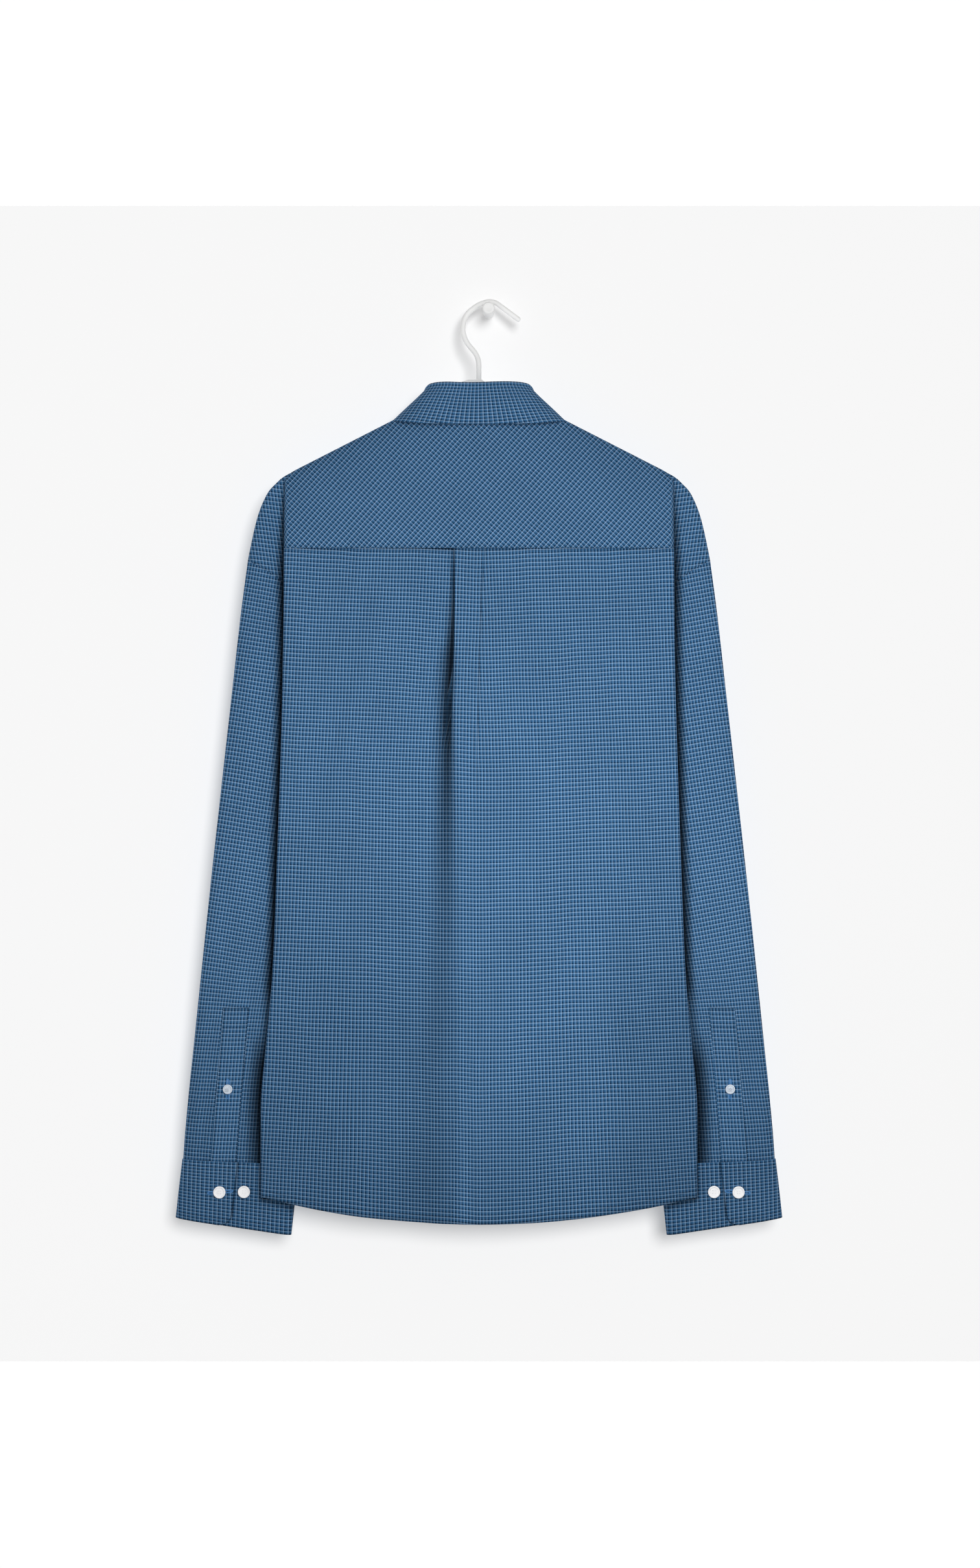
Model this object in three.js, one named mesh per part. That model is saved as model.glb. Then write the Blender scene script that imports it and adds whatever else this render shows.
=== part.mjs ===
// A long-sleeved check shirt, seen from its back, on a plastic hanger that hooks over a round wall peg.
//
// Millimetres, +Z up. The wall is the plane Y = 0 and the origin is the centre of the peg's wall face.
// The shirt hangs flat in front of the wall, at negative Y, with its back towards the viewer.
// Its body is a flattened tube whose sides are folded in like bellows: the back panel turns in behind
// its own edge, the front panels do the same on the wall side, and each sleeve hangs between the two.
// Cloth pieces are walls of even thickness about a middle surface, a small gap apart at their seams.

import * as THREE from 'three';

// Driving dimensions ---------------------------------------------------------------------------

const CLOTH = 1.2; // wall of one layer of shirting, held stiff
const BAND = 1.8; // wall of a cuff, which is two layers and an interlining
const SEAM = 0.3; // gap left between two pieces at a seam, and between stacked layers

const SHIRT_X = -9; // centre line of the shirt, from the peg
const CENTRE_Y = -34; // middle plane of the hanging shirt, in front of the wall
const BODY_HALF = 16; // from the middle plane to the back panel, and to the front panels
const TURN_HALF = 8.8; // from the middle plane to the cloth that is turned in at the sides

const NECK_HALF = 84.8; // half width where the shoulder slope starts
const NECK_RIDGE_Z = -110.1; // height of the shoulder ridge at that place
const SHOULDER_SLOPE = 0.511; // fall of the shoulder ridge for each millimetre outwards
const SHOULDER_BEND_X = 178; // half width where the ridge starts to bend down
const SHOULDER_BEND = 0.026; // its further fall there, per square millimetre
const RIDGE_FALL = 60; // height over which the cloth opens out below the ridge
const YOKE_FRONT_DROP = 28; // front yoke seam, below the ridge

const NECK_BACK_Z = -105.6; // neck seam at the back
const NECK_FRONT_Z = -160; // neck seam at the centre front
const NECK_CORNER = 77; // half width where the front neck line meets the yoke
const YOKE_SEAM_Z = -229.7; // straight seam across the back
const HEM_BACK_Z = -865.3; // lowest point of the back hem
const HEM_FRONT_Z = -858; // lowest point of the front hem
const HEM_RISE = 25.6; // rise of the curved hem out to the folded edge
const HEM_CURVE = 2.2; // power of the hem's curve
const SIDE_RISE = 40; // further rise of the hem, in behind the edge, up to the side seam
const ARMPIT_Z = -400; // where the side seam starts
const FRONT_LAP = 17; // lap of each front past the centre line
const FRONT_LAP_DEPTH = 2.1; // the right front lies this much behind the left one at the lap

const CUFF_HALF = 6.5; // half depth of the cuff's flattened tube
const CUFF_LAP_STEP = BAND + 0.4; // how far the lapping end stands off the end below it
const GAUNTLET_WIDTH = 24;
const BUTTON = { radius: 5.75, height: 2.4 };
const SMALL_BUTTON = { radius: 4.5, height: 2.2 };
const FRONT_BUTTONS = 7;
const FRONT_BUTTON_TOP_Z = -184;
const FRONT_BUTTON_PITCH = 88;

const HANGER_END = 171; // half length of the hanger's arms
const HANGER_DEPTH = 22; // depth of an arm, top to bottom
const HANGER_EDGE = 2.4; // rounding of its edges
const HANGER_CORE = 2.2; // thickness between those roundings
const HANGER_CLEAR = 2.9; // below the cloth's middle surface, along the ridge
const HOOK_RADIUS = 3.6;
const PEG_STEM = 3; // radius of the stem that the hook rests on

// Tables ---------------------------------------------------------------------------------------

// Body edge by height: half width to the fold, and how far the cloth is turned in behind it.
const BODY = [
  { z: -170, fold: 183.6, turn: 8 },
  { z: -200, fold: 183.6, turn: 16 },
  { z: -229.7, fold: 183.6, turn: 25 },
  { z: -280, fold: 183.8, turn: 52 },
  { z: -340, fold: 184.6, turn: 88 },
  { z: -400, fold: 186, turn: 116 },
  { z: -520, fold: 190, turn: 112 },
  { z: -628, fold: 194.3, turn: 106 },
  { z: -695, fold: 200.3, turn: 100 },
  { z: -760, fold: 205.4, turn: 95 },
  { z: -866, fold: 205.4, turn: 95 },
];

// Box pleat below the yoke, off the centre line: its two folds, how far the cloth is tucked in under
// each of them, and how deep the three layers lie. It opens out on the way down.
const PLEAT = [
  { z: -229.7, left: -22, right: 6, tuck: 12, depth: 3.4 },
  { z: -330, left: -21.5, right: 4.5, tuck: 9, depth: 3.4 },
  { z: -430, left: -22, right: 3, tuck: 4, depth: 3.4 },
  { z: -520, left: -24, right: 4, tuck: -2, depth: 3.2 },
  { z: -640, left: -27, right: 8, tuck: -8, depth: 2.6 },
  { z: -866, left: -30, right: 14, tuck: -12, depth: 1.6 },
];

// Soft folds of the back panel: place, half width, and depth at the yoke and at the hem.
const BACK_FOLDS = [
  { x: -120, half: 40, top: 0.5, hem: 3 },
  { x: -64, half: 34, top: 0.5, hem: -2.5 },
  { x: 62, half: 34, top: -0.5, hem: -2 },
  { x: 128, half: 34, top: 2.5, hem: 4 },
];

// Rings of a sleeve, from the armhole seam to the cuff: height at the outer edge, place of the outer and
// inner edges, fall from the outer edge to the inner one, and half depth.
const SLEEVE = [
  { z: -239.5, outer: 217.2, inner: 78, fall: 162, half: 6 },
  { z: -290, outer: 223.9, inner: 80, fall: 134, half: 6.2 },
  { z: -360, outer: 231.8, inner: 87, fall: 100, half: 6.5 },
  { z: -458, outer: 242.8, inner: 104, fall: 64, half: 6.8 },
  { z: -555, outer: 253.5, inner: 122, fall: 38, half: 6.8 },
  { z: -640, outer: 262.4, inner: 138, fall: 22, half: 6.8 },
  { z: -700, outer: 268.6, inner: 149, fall: 13, half: 6.8 },
  { z: -750, outer: 273.8, inner: 158, fall: 8, half: 6.8 },
  { z: -806, outer: 279, inner: 166, fall: 5, half: 6.4 },
];

// Drop-shoulder end of the front, from its top under the yoke to the armhole seam, in the same columns.
const SHOULDER = [
  { z: -168.2, outer: 191, inner: 178, fall: 4, half: 4.8 },
  { z: -174, outer: 196.6, inner: 172, fall: 12, half: 5.2 },
  { z: -183.3, outer: 202.2, inner: 168, fall: 26, half: 5.6 },
  { z: -195.5, outer: 207.1, inner: 156, fall: 52, half: 6 },
  { z: -209, outer: 210.8, inner: 132, fall: 86, half: 6 },
  { z: -224, outer: 214.1, inner: 104, fall: 124, half: 6 },
  { z: -238.8, outer: 217.1, inner: 78, fall: 162, half: 6 },
];

// Cuff, upper and lower edge: outer and inner corner.
const CUFF = [
  { outer: 279, outerZ: -806.4, inner: 171, innerZ: -811.4 },
  { outer: 282.4, outerZ: -833.4, inner: 174.8, innerZ: -844 },
  { outer: 285.5, outerZ: -860.4, inner: 178.7, innerZ: -876.9 },
];

// Collar from the centre back round one side to the centre front. Each place is [x, depth, z]: the neck
// seam, the fold at the top, and the free edge of the leaf that falls over it.
const COLLAR = [
  { seam: [0, -15, -105], fold: [0, -17.5, -73.5], edge: [0, -20, -113.3] },
  { seam: [18, -15, -105], fold: [16, -17.5, -73.4], edge: [23, -20, -113.2] },
  { seam: [36, -13.4, -104.8], fold: [31, -16.5, -73.4], edge: [46, -19, -112.8] },
  { seam: [52, -10, -104], fold: [42, -12.5, -73.9], edge: [66, -15.5, -111.6] },
  { seam: [63, -5.5, -101.8], fold: [48, -6, -75.5], edge: [79, -9.6, -110.1] },
  { seam: [68.5, 0, -100], fold: [50.5, 1.5, -80], edge: [86.5, 0, -108.8] },
  { seam: [71.5, 6, -105], fold: [49.5, 8, -88], edge: [88, 8.5, -113] },
  { seam: [71.5, 13, -121], fold: [43, 13.5, -101], edge: [83, 16, -128] },
  { seam: [59, 16, -140.5], fold: [30, 16.8, -119], edge: [72, 20, -152] },
  { seam: [36, 16.6, -152.8], fold: [16, 18, -135], edge: [60, 20.8, -180] },
  { seam: [3, 16.4, -159], fold: [4, 18.6, -146], edge: [47, 21, -203] },
];

// Centre line of the hanger's hook, from the hanger up and over the peg: [x, z] from the origin.
const HOOK = [
  [-11.6, -68.4], [-11.6, -60], [-12.2, -52], [-16.5, -43], [-23.5, -33.5], [-27, -23],
  [-24.6, -10.5], [-15.6, -0.6], [0, PEG_STEM + SEAM + HOOK_RADIUS], [12, 3.4], [21.5, -4.6],
  [27.8, -14.6], [29.6, -22],
];

// Finishes -------------------------------------------------------------------------------------

const finish = (color, roughness) => new THREE.MeshStandardMaterial({ color, roughness, metalness: 0 });
const SHIRTING = finish(0x456989, 0.9);
const BIAS_SHIRTING = finish(0x44688c, 0.9);
const WHITE_BUTTON = finish(0xeceef2, 0.35);
const GREY_BUTTON = finish(0xc3cfdd, 0.35);
const WHITE_PLASTIC = finish(0xf3f2f0, 0.4);

// Small tools ----------------------------------------------------------------------------------

const mix = THREE.MathUtils.lerp;
const clamp = THREE.MathUtils.clamp;

// Straight line between the two rows of a table that lie either side of a height.
function byHeight(table, z, column) {
  const last = table.length - 1;
  let below = table.findIndex((row) => row.z <= z);
  if (below < 0) below = last;
  if (below === 0) return table[0][column];
  const [high, low] = [table[below - 1], table[below]];
  const share = clamp((high.z - z) / (high.z - low.z), 0, 1);
  return mix(high[column], low[column], share);
}

// Even steps from 0 to 1.
const steps = (count) => Array.from({ length: count + 1 }, (_, i) => i / count);

// A point of the shirt: across from its centre line, out from its middle plane, and up.
const at = (x, depth, z) => new THREE.Vector3(SHIRT_X + x, CENTRE_Y + depth, z);

// Cloth walls ----------------------------------------------------------------------------------

// Unit normal of the middle surface at one point of its grid.
function gridNormal(rows, i, j, closed) {
  const across = rows[i].length;
  const before = closed ? (j + across - 1) % across : Math.max(j - 1, 0);
  const after = closed ? (j + 1) % across : Math.min(j + 1, across - 1);
  const along = rows[i][after].clone().sub(rows[i][before]);
  const up = rows[Math.min(i + 1, rows.length - 1)][j].clone().sub(rows[Math.max(i - 1, 0)][j]);
  return along.cross(up).normalize();
}

// A closed wall about a grid of points: half the thickness each way, joined round every free edge.
// With closed set, each row is a ring, and the wall is a tube open at its two ends. has(i, j) says
// whether the cloth fills the cell above row i and after column j.
function clothWall(rows, { thickness = CLOTH, closed = false, has = () => true } = {}) {
  const across = rows[0].length;
  const count = rows.length * across;
  const positions = [];
  const vertices = new Map();
  const vertex = (id) => {
    if (!vertices.has(id)) {
      const [i, j] = [Math.floor((id % count) / across), id % across];
      const reach = (id < count ? thickness : -thickness) / 2;
      const out = gridNormal(rows, i, j, closed).multiplyScalar(reach);
      vertices.set(id, positions.length / 3);
      positions.push(...rows[i][j].clone().add(out).toArray());
    }
    return vertices.get(id);
  };

  const index = [];
  const face = (a, b, c, d) => index.push(...[a, b, c, a, c, d].map(vertex));
  const free = new Map();
  for (let i = 0; i < rows.length - 1; i += 1) {
    for (let j = 0; j < (closed ? across : across - 1); j += 1) {
      if (!has(i, j)) continue;
      const after = (j + 1) % across;
      const corners = [[i, j], [i, after], [i + 1, after], [i + 1, j]].map(([r, c]) => r * across + c);
      face(...corners);
      face(...corners.map((corner) => corner + count).reverse());
      corners.forEach((from, k) => {
        const to = corners[(k + 1) % 4];
        if (!free.delete(`${to} ${from}`)) free.set(`${from} ${to}`, [from, to]);
      });
    }
  }
  free.forEach(([from, to]) => face(to, from, from + count, to + count));

  const geometry = new THREE.BufferGeometry();
  geometry.setAttribute('position', new THREE.Float32BufferAttribute(positions, 3));
  geometry.setIndex(index);
  return geometry;
}

// The shirt's form -----------------------------------------------------------------------------

// Height of the shoulder ridge, straight over the hanger and bending down past its end.
function ridgeZ(x) {
  const past = Math.max(Math.abs(x) - SHOULDER_BEND_X, 0);
  return NECK_RIDGE_Z - (Math.abs(x) - NECK_HALF) * SHOULDER_SLOPE - SHOULDER_BEND * past ** 2;
}

// Half depth of the body under the shoulder ridge, opening out as a quarter ellipse.
function bodyHalf(x, z) {
  const share = clamp((ridgeZ(x) - z) / RIDGE_FALL, 0, 1);
  return BODY_HALF * Math.sqrt(1 - (1 - share) ** 2);
}

// Height of a curved hem at one place, with its further rise behind the folded edge.
function hemZ(lowest, x, turned = 0) {
  const fold = byHeight(BODY, lowest, 'fold');
  return lowest + HEM_RISE * Math.min(Math.abs(x) / fold, 1) ** HEM_CURVE + SIDE_RISE * turned;
}

// The folded side edge: five stations from the flat panel round the fold and in to the side seam.
// turned is the share of the way in. sign is -1 for the back of the shirt and 1 for its front.
const EDGE = [
  { turned: 0, angle: 0 }, { turned: 0, angle: 90 }, { turned: 0, angle: 180 },
  { turned: 0.5, angle: 180 }, { turned: 0.94, angle: 180 }, { turned: 1, angle: 180 },
];

function edgePoint(station, side, sign, z, narrower = 0) {
  const fold = byHeight(BODY, z, 'fold') - narrower;
  const turn = byHeight(BODY, z, 'turn') - narrower;
  const radius = (bodyHalf(fold, z) - TURN_HALF) / 2;
  const angle = THREE.MathUtils.degToRad(station.angle);
  const x = fold - radius + radius * Math.sin(angle) - (turn - radius) * station.turned;
  let depth = TURN_HALF + radius * (1 + Math.cos(angle));
  if (station.turned === 1) depth = mix(TURN_HALF, CLOTH / 2 + SEAM / 2, clamp((ARMPIT_Z + 20 - z) / 35, 0, 1));
  return at(side * x, sign * depth, z);
}

// Panels ---------------------------------------------------------------------------------------

// Back panel stations, as shares of the half width to the fold, outside the pleat.
const PANEL_SHARES = [0.2, 0.33, 0.46, 0.58, 0.7, 0.82, 0.93];

function backFolds(x, z) {
  const down = clamp((YOKE_SEAM_Z - z) / (YOKE_SEAM_Z - HEM_BACK_Z), 0, 1);
  return BACK_FOLDS.reduce((sum, fold) => {
    const reach = clamp(1 - Math.abs(x - fold.x) / fold.half, 0, 1);
    return sum + mix(fold.top, fold.hem, down) * reach * reach * (3 - 2 * reach);
  }, 0);
}

// One side of the box pleat, from the flat panel in under the fold and back out to it: side is -1 at
// the left fold. Each station is a place along the three layers.
function pleatPoints(side, z) {
  const fold = byHeight(PLEAT, z, side < 0 ? 'left' : 'right');
  const tuck = byHeight(PLEAT, z, 'tuck');
  const depth = byHeight(PLEAT, z, 'depth');
  const spread = Math.max(-tuck, 0);
  const stations = [
    { x: 13 + spread, layer: 0.6 },
    { x: 3 + spread * 0.7, layer: 1 },
    { x: -tuck, layer: 1 },
    { x: -tuck - 0.85 + spread * 0.1, layer: 0.75 },
    { x: -tuck * (tuck > 0 ? 1 : 0.5), layer: 0.5 },
    { x: 0.4, layer: 0.5 },
    { x: 1.25 - spread * 0.12, layer: 0.25 },
    { x: 0.3 - spread * 0.1, layer: 0 },
  ];
  return stations.map(({ x, layer }) => at(fold + side * x, -BODY_HALF + depth * layer, z));
}

function backRow(share) {
  const top = YOKE_SEAM_Z - SEAM;
  const zAt = (x, turned) => mix(top, hemZ(HEM_BACK_Z, x, turned), share);
  const foldAt = (z) => byHeight(BODY, z, 'fold');
  const half = (side) => {
    const flat = PANEL_SHARES.map((part) => {
      const z = zAt(side * part * foldAt(HEM_BACK_Z), 0);
      const x = side * part * foldAt(z);
      return at(x, -BODY_HALF + backFolds(x, z), z);
    });
    const z = zAt(foldAt(HEM_BACK_Z), 0);
    return [...flat, ...EDGE.map((station) => edgePoint(station, side, -1, mix(z, zAt(foldAt(z), 1), station.turned)))];
  };
  const middleZ = zAt(0, 0);
  const pleat = [...pleatPoints(-1, middleZ), ...pleatPoints(1, middleZ).reverse()];
  return [...half(-1).reverse(), ...pleat, ...half(1)];
}

const backPanel = () => clothWall(steps(12).map(backRow));

// Yoke: each column climbs the back from the yoke seam, and ends at the neck or goes over the ridge to
// the front yoke seam. end is the angle from the ridge where it stops, in degrees, positive on the back.
const FRONT_SEAM_ANGLE = -THREE.MathUtils.radToDeg(Math.acos(1 - YOKE_FRONT_DROP / RIDGE_FALL));
const neckAngle = (x) => THREE.MathUtils.radToDeg(Math.acos(1 - (ridgeZ(x) - NECK_BACK_Z) / RIDGE_FALL));
const YOKE_COLUMNS = [
  { x: 0, end: neckAngle(0) },
  { x: 20, end: neckAngle(20) },
  { x: 40, end: neckAngle(40) },
  { x: 56, end: neckAngle(56) },
  { x: 66, end: 19 },
  { x: 69.5, end: 2 },
  { x: 72, end: -14 },
  { x: 74.2, end: -32 },
  { x: NECK_CORNER, end: FRONT_SEAM_ANGLE },
  { x: 100, end: FRONT_SEAM_ANGLE },
  { x: 125, end: FRONT_SEAM_ANGLE },
  { x: 148, end: FRONT_SEAM_ANGLE },
  { x: 166, end: FRONT_SEAM_ANGLE },
  { x: 176, end: FRONT_SEAM_ANGLE },
];
const YOKE_END = 186; // reach of the yoke along the ridge
const YOKE_END_ANGLE = -40; // where its outermost column stops, past the ridge
const YOKE_TURN_TOP_Z = -180; // top of the cloth turned in behind the folded edge

// Rows of the yoke: share of the flat stretch below the ridge, then share of the turn over the ridge.
const YOKE_ROWS = [
  ...[0, 0.5, 1].map((flat) => ({ flat, turn: 0 })),
  ...[0.13, 0.25, 0.37, 0.46, 0.535, 0.61, 0.685, 0.76, 0.86, 1].map((turn) => ({ flat: 1, turn })),
];
const YOKE_TURNED_ROWS = 5; // rows that have cloth turned in

function yokePoint(x, end, { flat, turn }) {
  if (turn === 0) return at(x, -BODY_HALF, mix(YOKE_SEAM_Z, ridgeZ(x) - RIDGE_FALL, flat));
  const angle = THREE.MathUtils.degToRad(mix(90, end, turn));
  return at(x, -BODY_HALF * Math.sin(angle), ridgeZ(x) - RIDGE_FALL * (1 - Math.cos(angle)));
}

function yokeRow(row, i) {
  const up = clamp(i / (YOKE_TURNED_ROWS - 1), 0, 1);
  const past = clamp((row.turn - 0.3) / 0.3, 0, 1);
  const half = (side) => {
    const turned = EDGE.slice(0, 4).map((station) => edgePoint(station, side, -1, mix(YOKE_SEAM_Z, YOKE_TURN_TOP_Z, up)));
    const edgeX = Math.abs(turned[0].x - SHIRT_X);
    const end = yokePoint(side * mix(edgeX, YOKE_END, past), YOKE_END_ANGLE, row);
    return [
      ...YOKE_COLUMNS.map((column) => yokePoint(side * column.x, column.end, row)),
      i < YOKE_TURNED_ROWS ? turned[0].setZ(Math.min(end.z, YOKE_TURN_TOP_Z)) : end,
      ...turned.slice(1),
    ];
  };
  return [...half(-1).reverse(), ...half(1).slice(1)];
}

function yoke() {
  const rows = YOKE_ROWS.map(yokeRow);
  const lastColumn = rows[0].length - 2;
  const has = (i, j) => i < YOKE_TURNED_ROWS - 1 || (j >= 3 && j <= lastColumn - 3);
  return clothWall(rows, { has });
}

// Front panels: columns across from the lapped edge, then the folded edge as at the back.
const FRONT_COLUMNS = [-FRONT_LAP, 0, 18, 34, 56, NECK_CORNER, 100, 125, 148, 166];
const FRONT_END_TOP_Z = [-196, -198, -204, -212, -222, -224]; // tops of the columns at the folded edge

function frontTopZ(x) {
  if (x >= NECK_CORNER) return ridgeZ(x) - YOKE_FRONT_DROP - SEAM * 2;
  const corner = ridgeZ(NECK_CORNER) - YOKE_FRONT_DROP - SEAM * 2;
  return mix(NECK_FRONT_Z, corner, (Math.max(x, 0) / NECK_CORNER) ** 2);
}

function frontRow(side, share) {
  const flat = FRONT_COLUMNS.map((x) => {
    const z = mix(frontTopZ(x), hemZ(HEM_FRONT_Z, x), share);
    const spread = byHeight(BODY, z, 'fold') / byHeight(BODY, YOKE_SEAM_Z, 'fold');
    const lap = side > 0 ? FRONT_LAP_DEPTH * clamp((40 - x) / 20, 0, 1) : 0;
    return at(side * x * (x > 0 ? spread : 1), bodyHalf(x, z) - lap, z);
  });
  const foldHem = hemZ(HEM_FRONT_Z, byHeight(BODY, HEM_FRONT_Z, 'fold'));
  const edge = EDGE.map((station, i) => {
    const z = mix(FRONT_END_TOP_Z[i], foldHem + SIDE_RISE * station.turned, share);
    return edgePoint(station, side, 1, z, 3 * (1 - station.turned));
  });
  return [...flat, ...edge];
}

const frontPanel = (side) => clothWall(steps(11).map((share) => frontRow(side, share)));

// Sleeves --------------------------------------------------------------------------------------

// Stations across a flattened tube, from the outer edge (0) to the inner one (1).
const TUBE_SHARES = [0, 0.012, 0.05, 0.18, 0.34, 0.5, 0.66, 0.82, 0.95, 0.988, 1];
const tubeDepth = (share) => (1 - (2 * share - 1) ** 10) ** 0.5;
const FALL_BEND = 0.39; // share of a ring's fall that is a straight slope, the rest growing inwards

function ringPoint(ring, share, side, sign) {
  const fall = ring.fall * (FALL_BEND * share + (1 - FALL_BEND) * share ** 2);
  return at(side * mix(ring.outer, ring.inner, share), sign * ring.half * tubeDepth(share), ring.z - fall);
}

function tubeRing(ring, side) {
  const back = TUBE_SHARES.map((share) => ringPoint(ring, share, side, -1));
  const front = TUBE_SHARES.slice(1, -1).reverse().map((share) => ringPoint(ring, share, side, 1));
  return [...back, ...front];
}

const sleeve = (side) => clothWall(SLEEVE.map((ring) => tubeRing(ring, side)), { closed: true });

// The drop-shoulder end is the same tube, left open and a little wider along its inner edge, where the
// body joins it.
const SHOULDER_FLARE = 1.19;

function shoulder(side) {
  const shares = TUBE_SHARES.slice(0, -2);
  const flared = (ring, share, sign) => {
    const wider = share === shares.at(-1) ? ring.half * (SHOULDER_FLARE / tubeDepth(share)) : ring.half;
    return ringPoint({ ...ring, half: wider }, share, side, sign);
  };
  return clothWall(SHOULDER.map((ring) => [
    ...shares.slice(1).reverse().map((share) => flared(ring, share, 1)),
    ...shares.map((share) => flared(ring, share, -1)),
  ]));
}

// Depth of a sleeve's back layer at a place.
const sleeveBack = () => -byHeight(SLEEVE, -700, 'half');

// Gauntlet: the strip over the sleeve's slit, on the sleeve's back.
const GAUNTLET = [
  { z: -662.8, x: 229.4 }, { z: -700, x: 232.4 }, { z: -740, x: 235.7 }, { z: -775, x: 238.5 },
  { z: -804.5, x: 240.9 },
];

function gauntlet(side) {
  const depth = sleeveBack() - CLOTH - SEAM;
  const places = [-0.5, 0, 0.5];
  return clothWall(GAUNTLET.map((row) => places.map((place) => {
    const x = row.x + place * GAUNTLET_WIDTH;
    return at(side * x, depth, row.z);
  })));
}

// Cuff: a band that starts at its lapping end on the back, goes out round the sleeve and ends beneath.
const LAP_END = 0.476; // share of the width where the lapping end stops
const LAP_START = 0.27; // share where the end below it stops
const CUFF_STATIONS = [
  ...[LAP_END, 0.4, 0.3, 0.2, 0.1, 0.03, 0.01].map((share) => ({ share, sign: -1, lapping: true })),
  { share: 0, sign: -1 },
  ...[0.01, 0.03, 0.12, 0.3, 0.5, 0.7, 0.88, 0.97, 0.99].map((share) => ({ share, sign: 1 })),
  { share: 1, sign: 1 },
  ...[0.99, 0.97, 0.88, 0.7, 0.5, 0.4, LAP_START].map((share) => ({ share, sign: -1 })),
];

function cuff(side) {
  const rows = CUFF.map((edge) => CUFF_STATIONS.map(({ share, sign, lapping }) => {
    const lift = lapping ? CUFF_LAP_STEP * clamp((share - 0.05) / 0.15, 0, 1) : 0;
    const depth = CUFF_HALF * tubeDepth(share) + lift;
    return at(side * mix(edge.outer, edge.inner, share), sign * depth, mix(edge.outerZ, edge.innerZ, share));
  }));
  return clothWall(rows, { thickness: BAND });
}

// Collar ---------------------------------------------------------------------------------------

// The whole loop of one line of the collar, from the left front round the back to the right front.
function collarLoop(line) {
  const half = (side) => COLLAR.map((row) => at(side * row[line][0], row[line][1], row[line][2]));
  return [...half(-1).reverse(), ...half(1).slice(1)];
}

// Level direction from each point of a loop towards the inside of the neck.
function inwards(loop, j) {
  const before = loop[Math.max(j - 1, 0)];
  const after = loop[Math.min(j + 1, loop.length - 1)];
  return new THREE.Vector3(-(after.y - before.y), after.x - before.x, 0).normalize();
}

const LEAF_ROLL = [
  { into: 2.6, below: 6 }, { into: 2.4, below: 2.6 }, { into: 1.1, below: 0.4 },
  { into: -0.9, below: 0.5 }, { into: -1.9, below: 3 },
];

function collarLeaf() {
  const fold = collarLoop('fold');
  const edge = collarLoop('edge');
  const rolled = LEAF_ROLL.map(({ into, below }) => fold.map((point, j) => (
    point.clone().addScaledVector(inwards(fold, j), into).setZ(point.z - below)
  )));
  const fallen = [0.3, 0.65, 1].map((share) => rolled.at(-1).map((point, j) => point.clone().lerp(edge[j], share)));
  return clothWall([...rolled, ...fallen]);
}

// The stand goes past the centre front at each end, the left end over the right one.
const STAND_LAP = 12;
const STAND_DROP = 1.4; // from the leaf's inner edge down to the stand

function collarStand() {
  const seam = collarLoop('seam');
  const fold = collarLoop('fold');
  const top = fold.map((point, j) => (
    point.clone().addScaledVector(inwards(fold, j), LEAF_ROLL[0].into).setZ(point.z - LEAF_ROLL[0].below - STAND_DROP)
  ));
  const lapped = (row) => {
    const shift = (point, across, depth) => point.clone().add(new THREE.Vector3(across, depth, 0.2));
    const right = row.slice(0, -1).concat(shift(row.at(-1), 0, -1.1));
    return [shift(row[0], STAND_LAP, 0.9), shift(row[0], 0, 0.9), ...right.slice(1), shift(row.at(-1), -STAND_LAP, -1.4)];
  };
  const middle = seam.map((point, j) => point.clone().lerp(top[j], 0.5));
  return clothWall([seam, middle, top].map(lapped));
}

// Buttons, hanger and peg ----------------------------------------------------------------------

// A button with a shallow dished face, lying flat on the shirt. sign is the way that its face looks.
function buttonMesh(name, size, material, x, depth, z, sign) {
  const { radius, height } = size;
  const profile = [[0, 0], [radius - 0.5, 0], [radius, 0.6], [radius, height - 0.6], [radius - 0.7, height],
    [radius - 1.5, height - 0.2], [radius - 2, height - 0.7], [0, height - 0.7]];
  const mesh = new THREE.Mesh(
    new THREE.LatheGeometry(profile.map(([r, h]) => new THREE.Vector2(r, h)), 16), material);
  mesh.name = name;
  mesh.position.copy(at(x, depth, z));
  if (sign < 0) mesh.rotation.z = Math.PI;
  return mesh;
}

function hangerBody() {
  const inset = HANGER_EDGE; // the bevel grows the outline by this much
  const top = (x) => ridgeZ(x) - HANGER_CLEAR - inset / Math.cos(Math.atan(SHOULDER_SLOPE));
  const outline = new THREE.Shape();
  const deep = HANGER_DEPTH - inset * 2;
  outline.moveTo(-HANGER_END, top(HANGER_END));
  outline.lineTo(-24, top(24));
  outline.lineTo(-15, -73);
  outline.lineTo(-9, -71.4);
  outline.lineTo(2, -71.4);
  outline.lineTo(9, top(9));
  outline.lineTo(HANGER_END, top(HANGER_END));
  outline.absarc(HANGER_END - 3, top(HANGER_END) - deep / 2, deep / 2, Math.PI / 2 - 0.3, -Math.PI / 2, true);
  outline.lineTo(0, top(0) - deep - 6);
  outline.absarc(3 - HANGER_END, top(HANGER_END) - deep / 2, deep / 2, -Math.PI / 2, -Math.PI * 1.5 + 0.3, true);
  const body = new THREE.ExtrudeGeometry(outline, {
    depth: HANGER_CORE, bevelThickness: HANGER_EDGE, bevelSize: HANGER_EDGE, bevelSegments: 2, curveSegments: 5,
  });
  body.translate(0, 0, -HANGER_CORE / 2).rotateX(Math.PI / 2);
  return body.translate(SHIRT_X, CENTRE_Y, 0);
}

function hangerHook() {
  const route = new THREE.CatmullRomCurve3(HOOK.map(([x, z]) => new THREE.Vector3(x, CENTRE_Y, z)));
  const section = new THREE.Shape().absarc(0, 0, HOOK_RADIUS, 0, Math.PI * 2);
  return new THREE.ExtrudeGeometry(section, {
    steps: 32, curveSegments: 6, bevelEnabled: false, extrudePath: route,
  });
}

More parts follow.
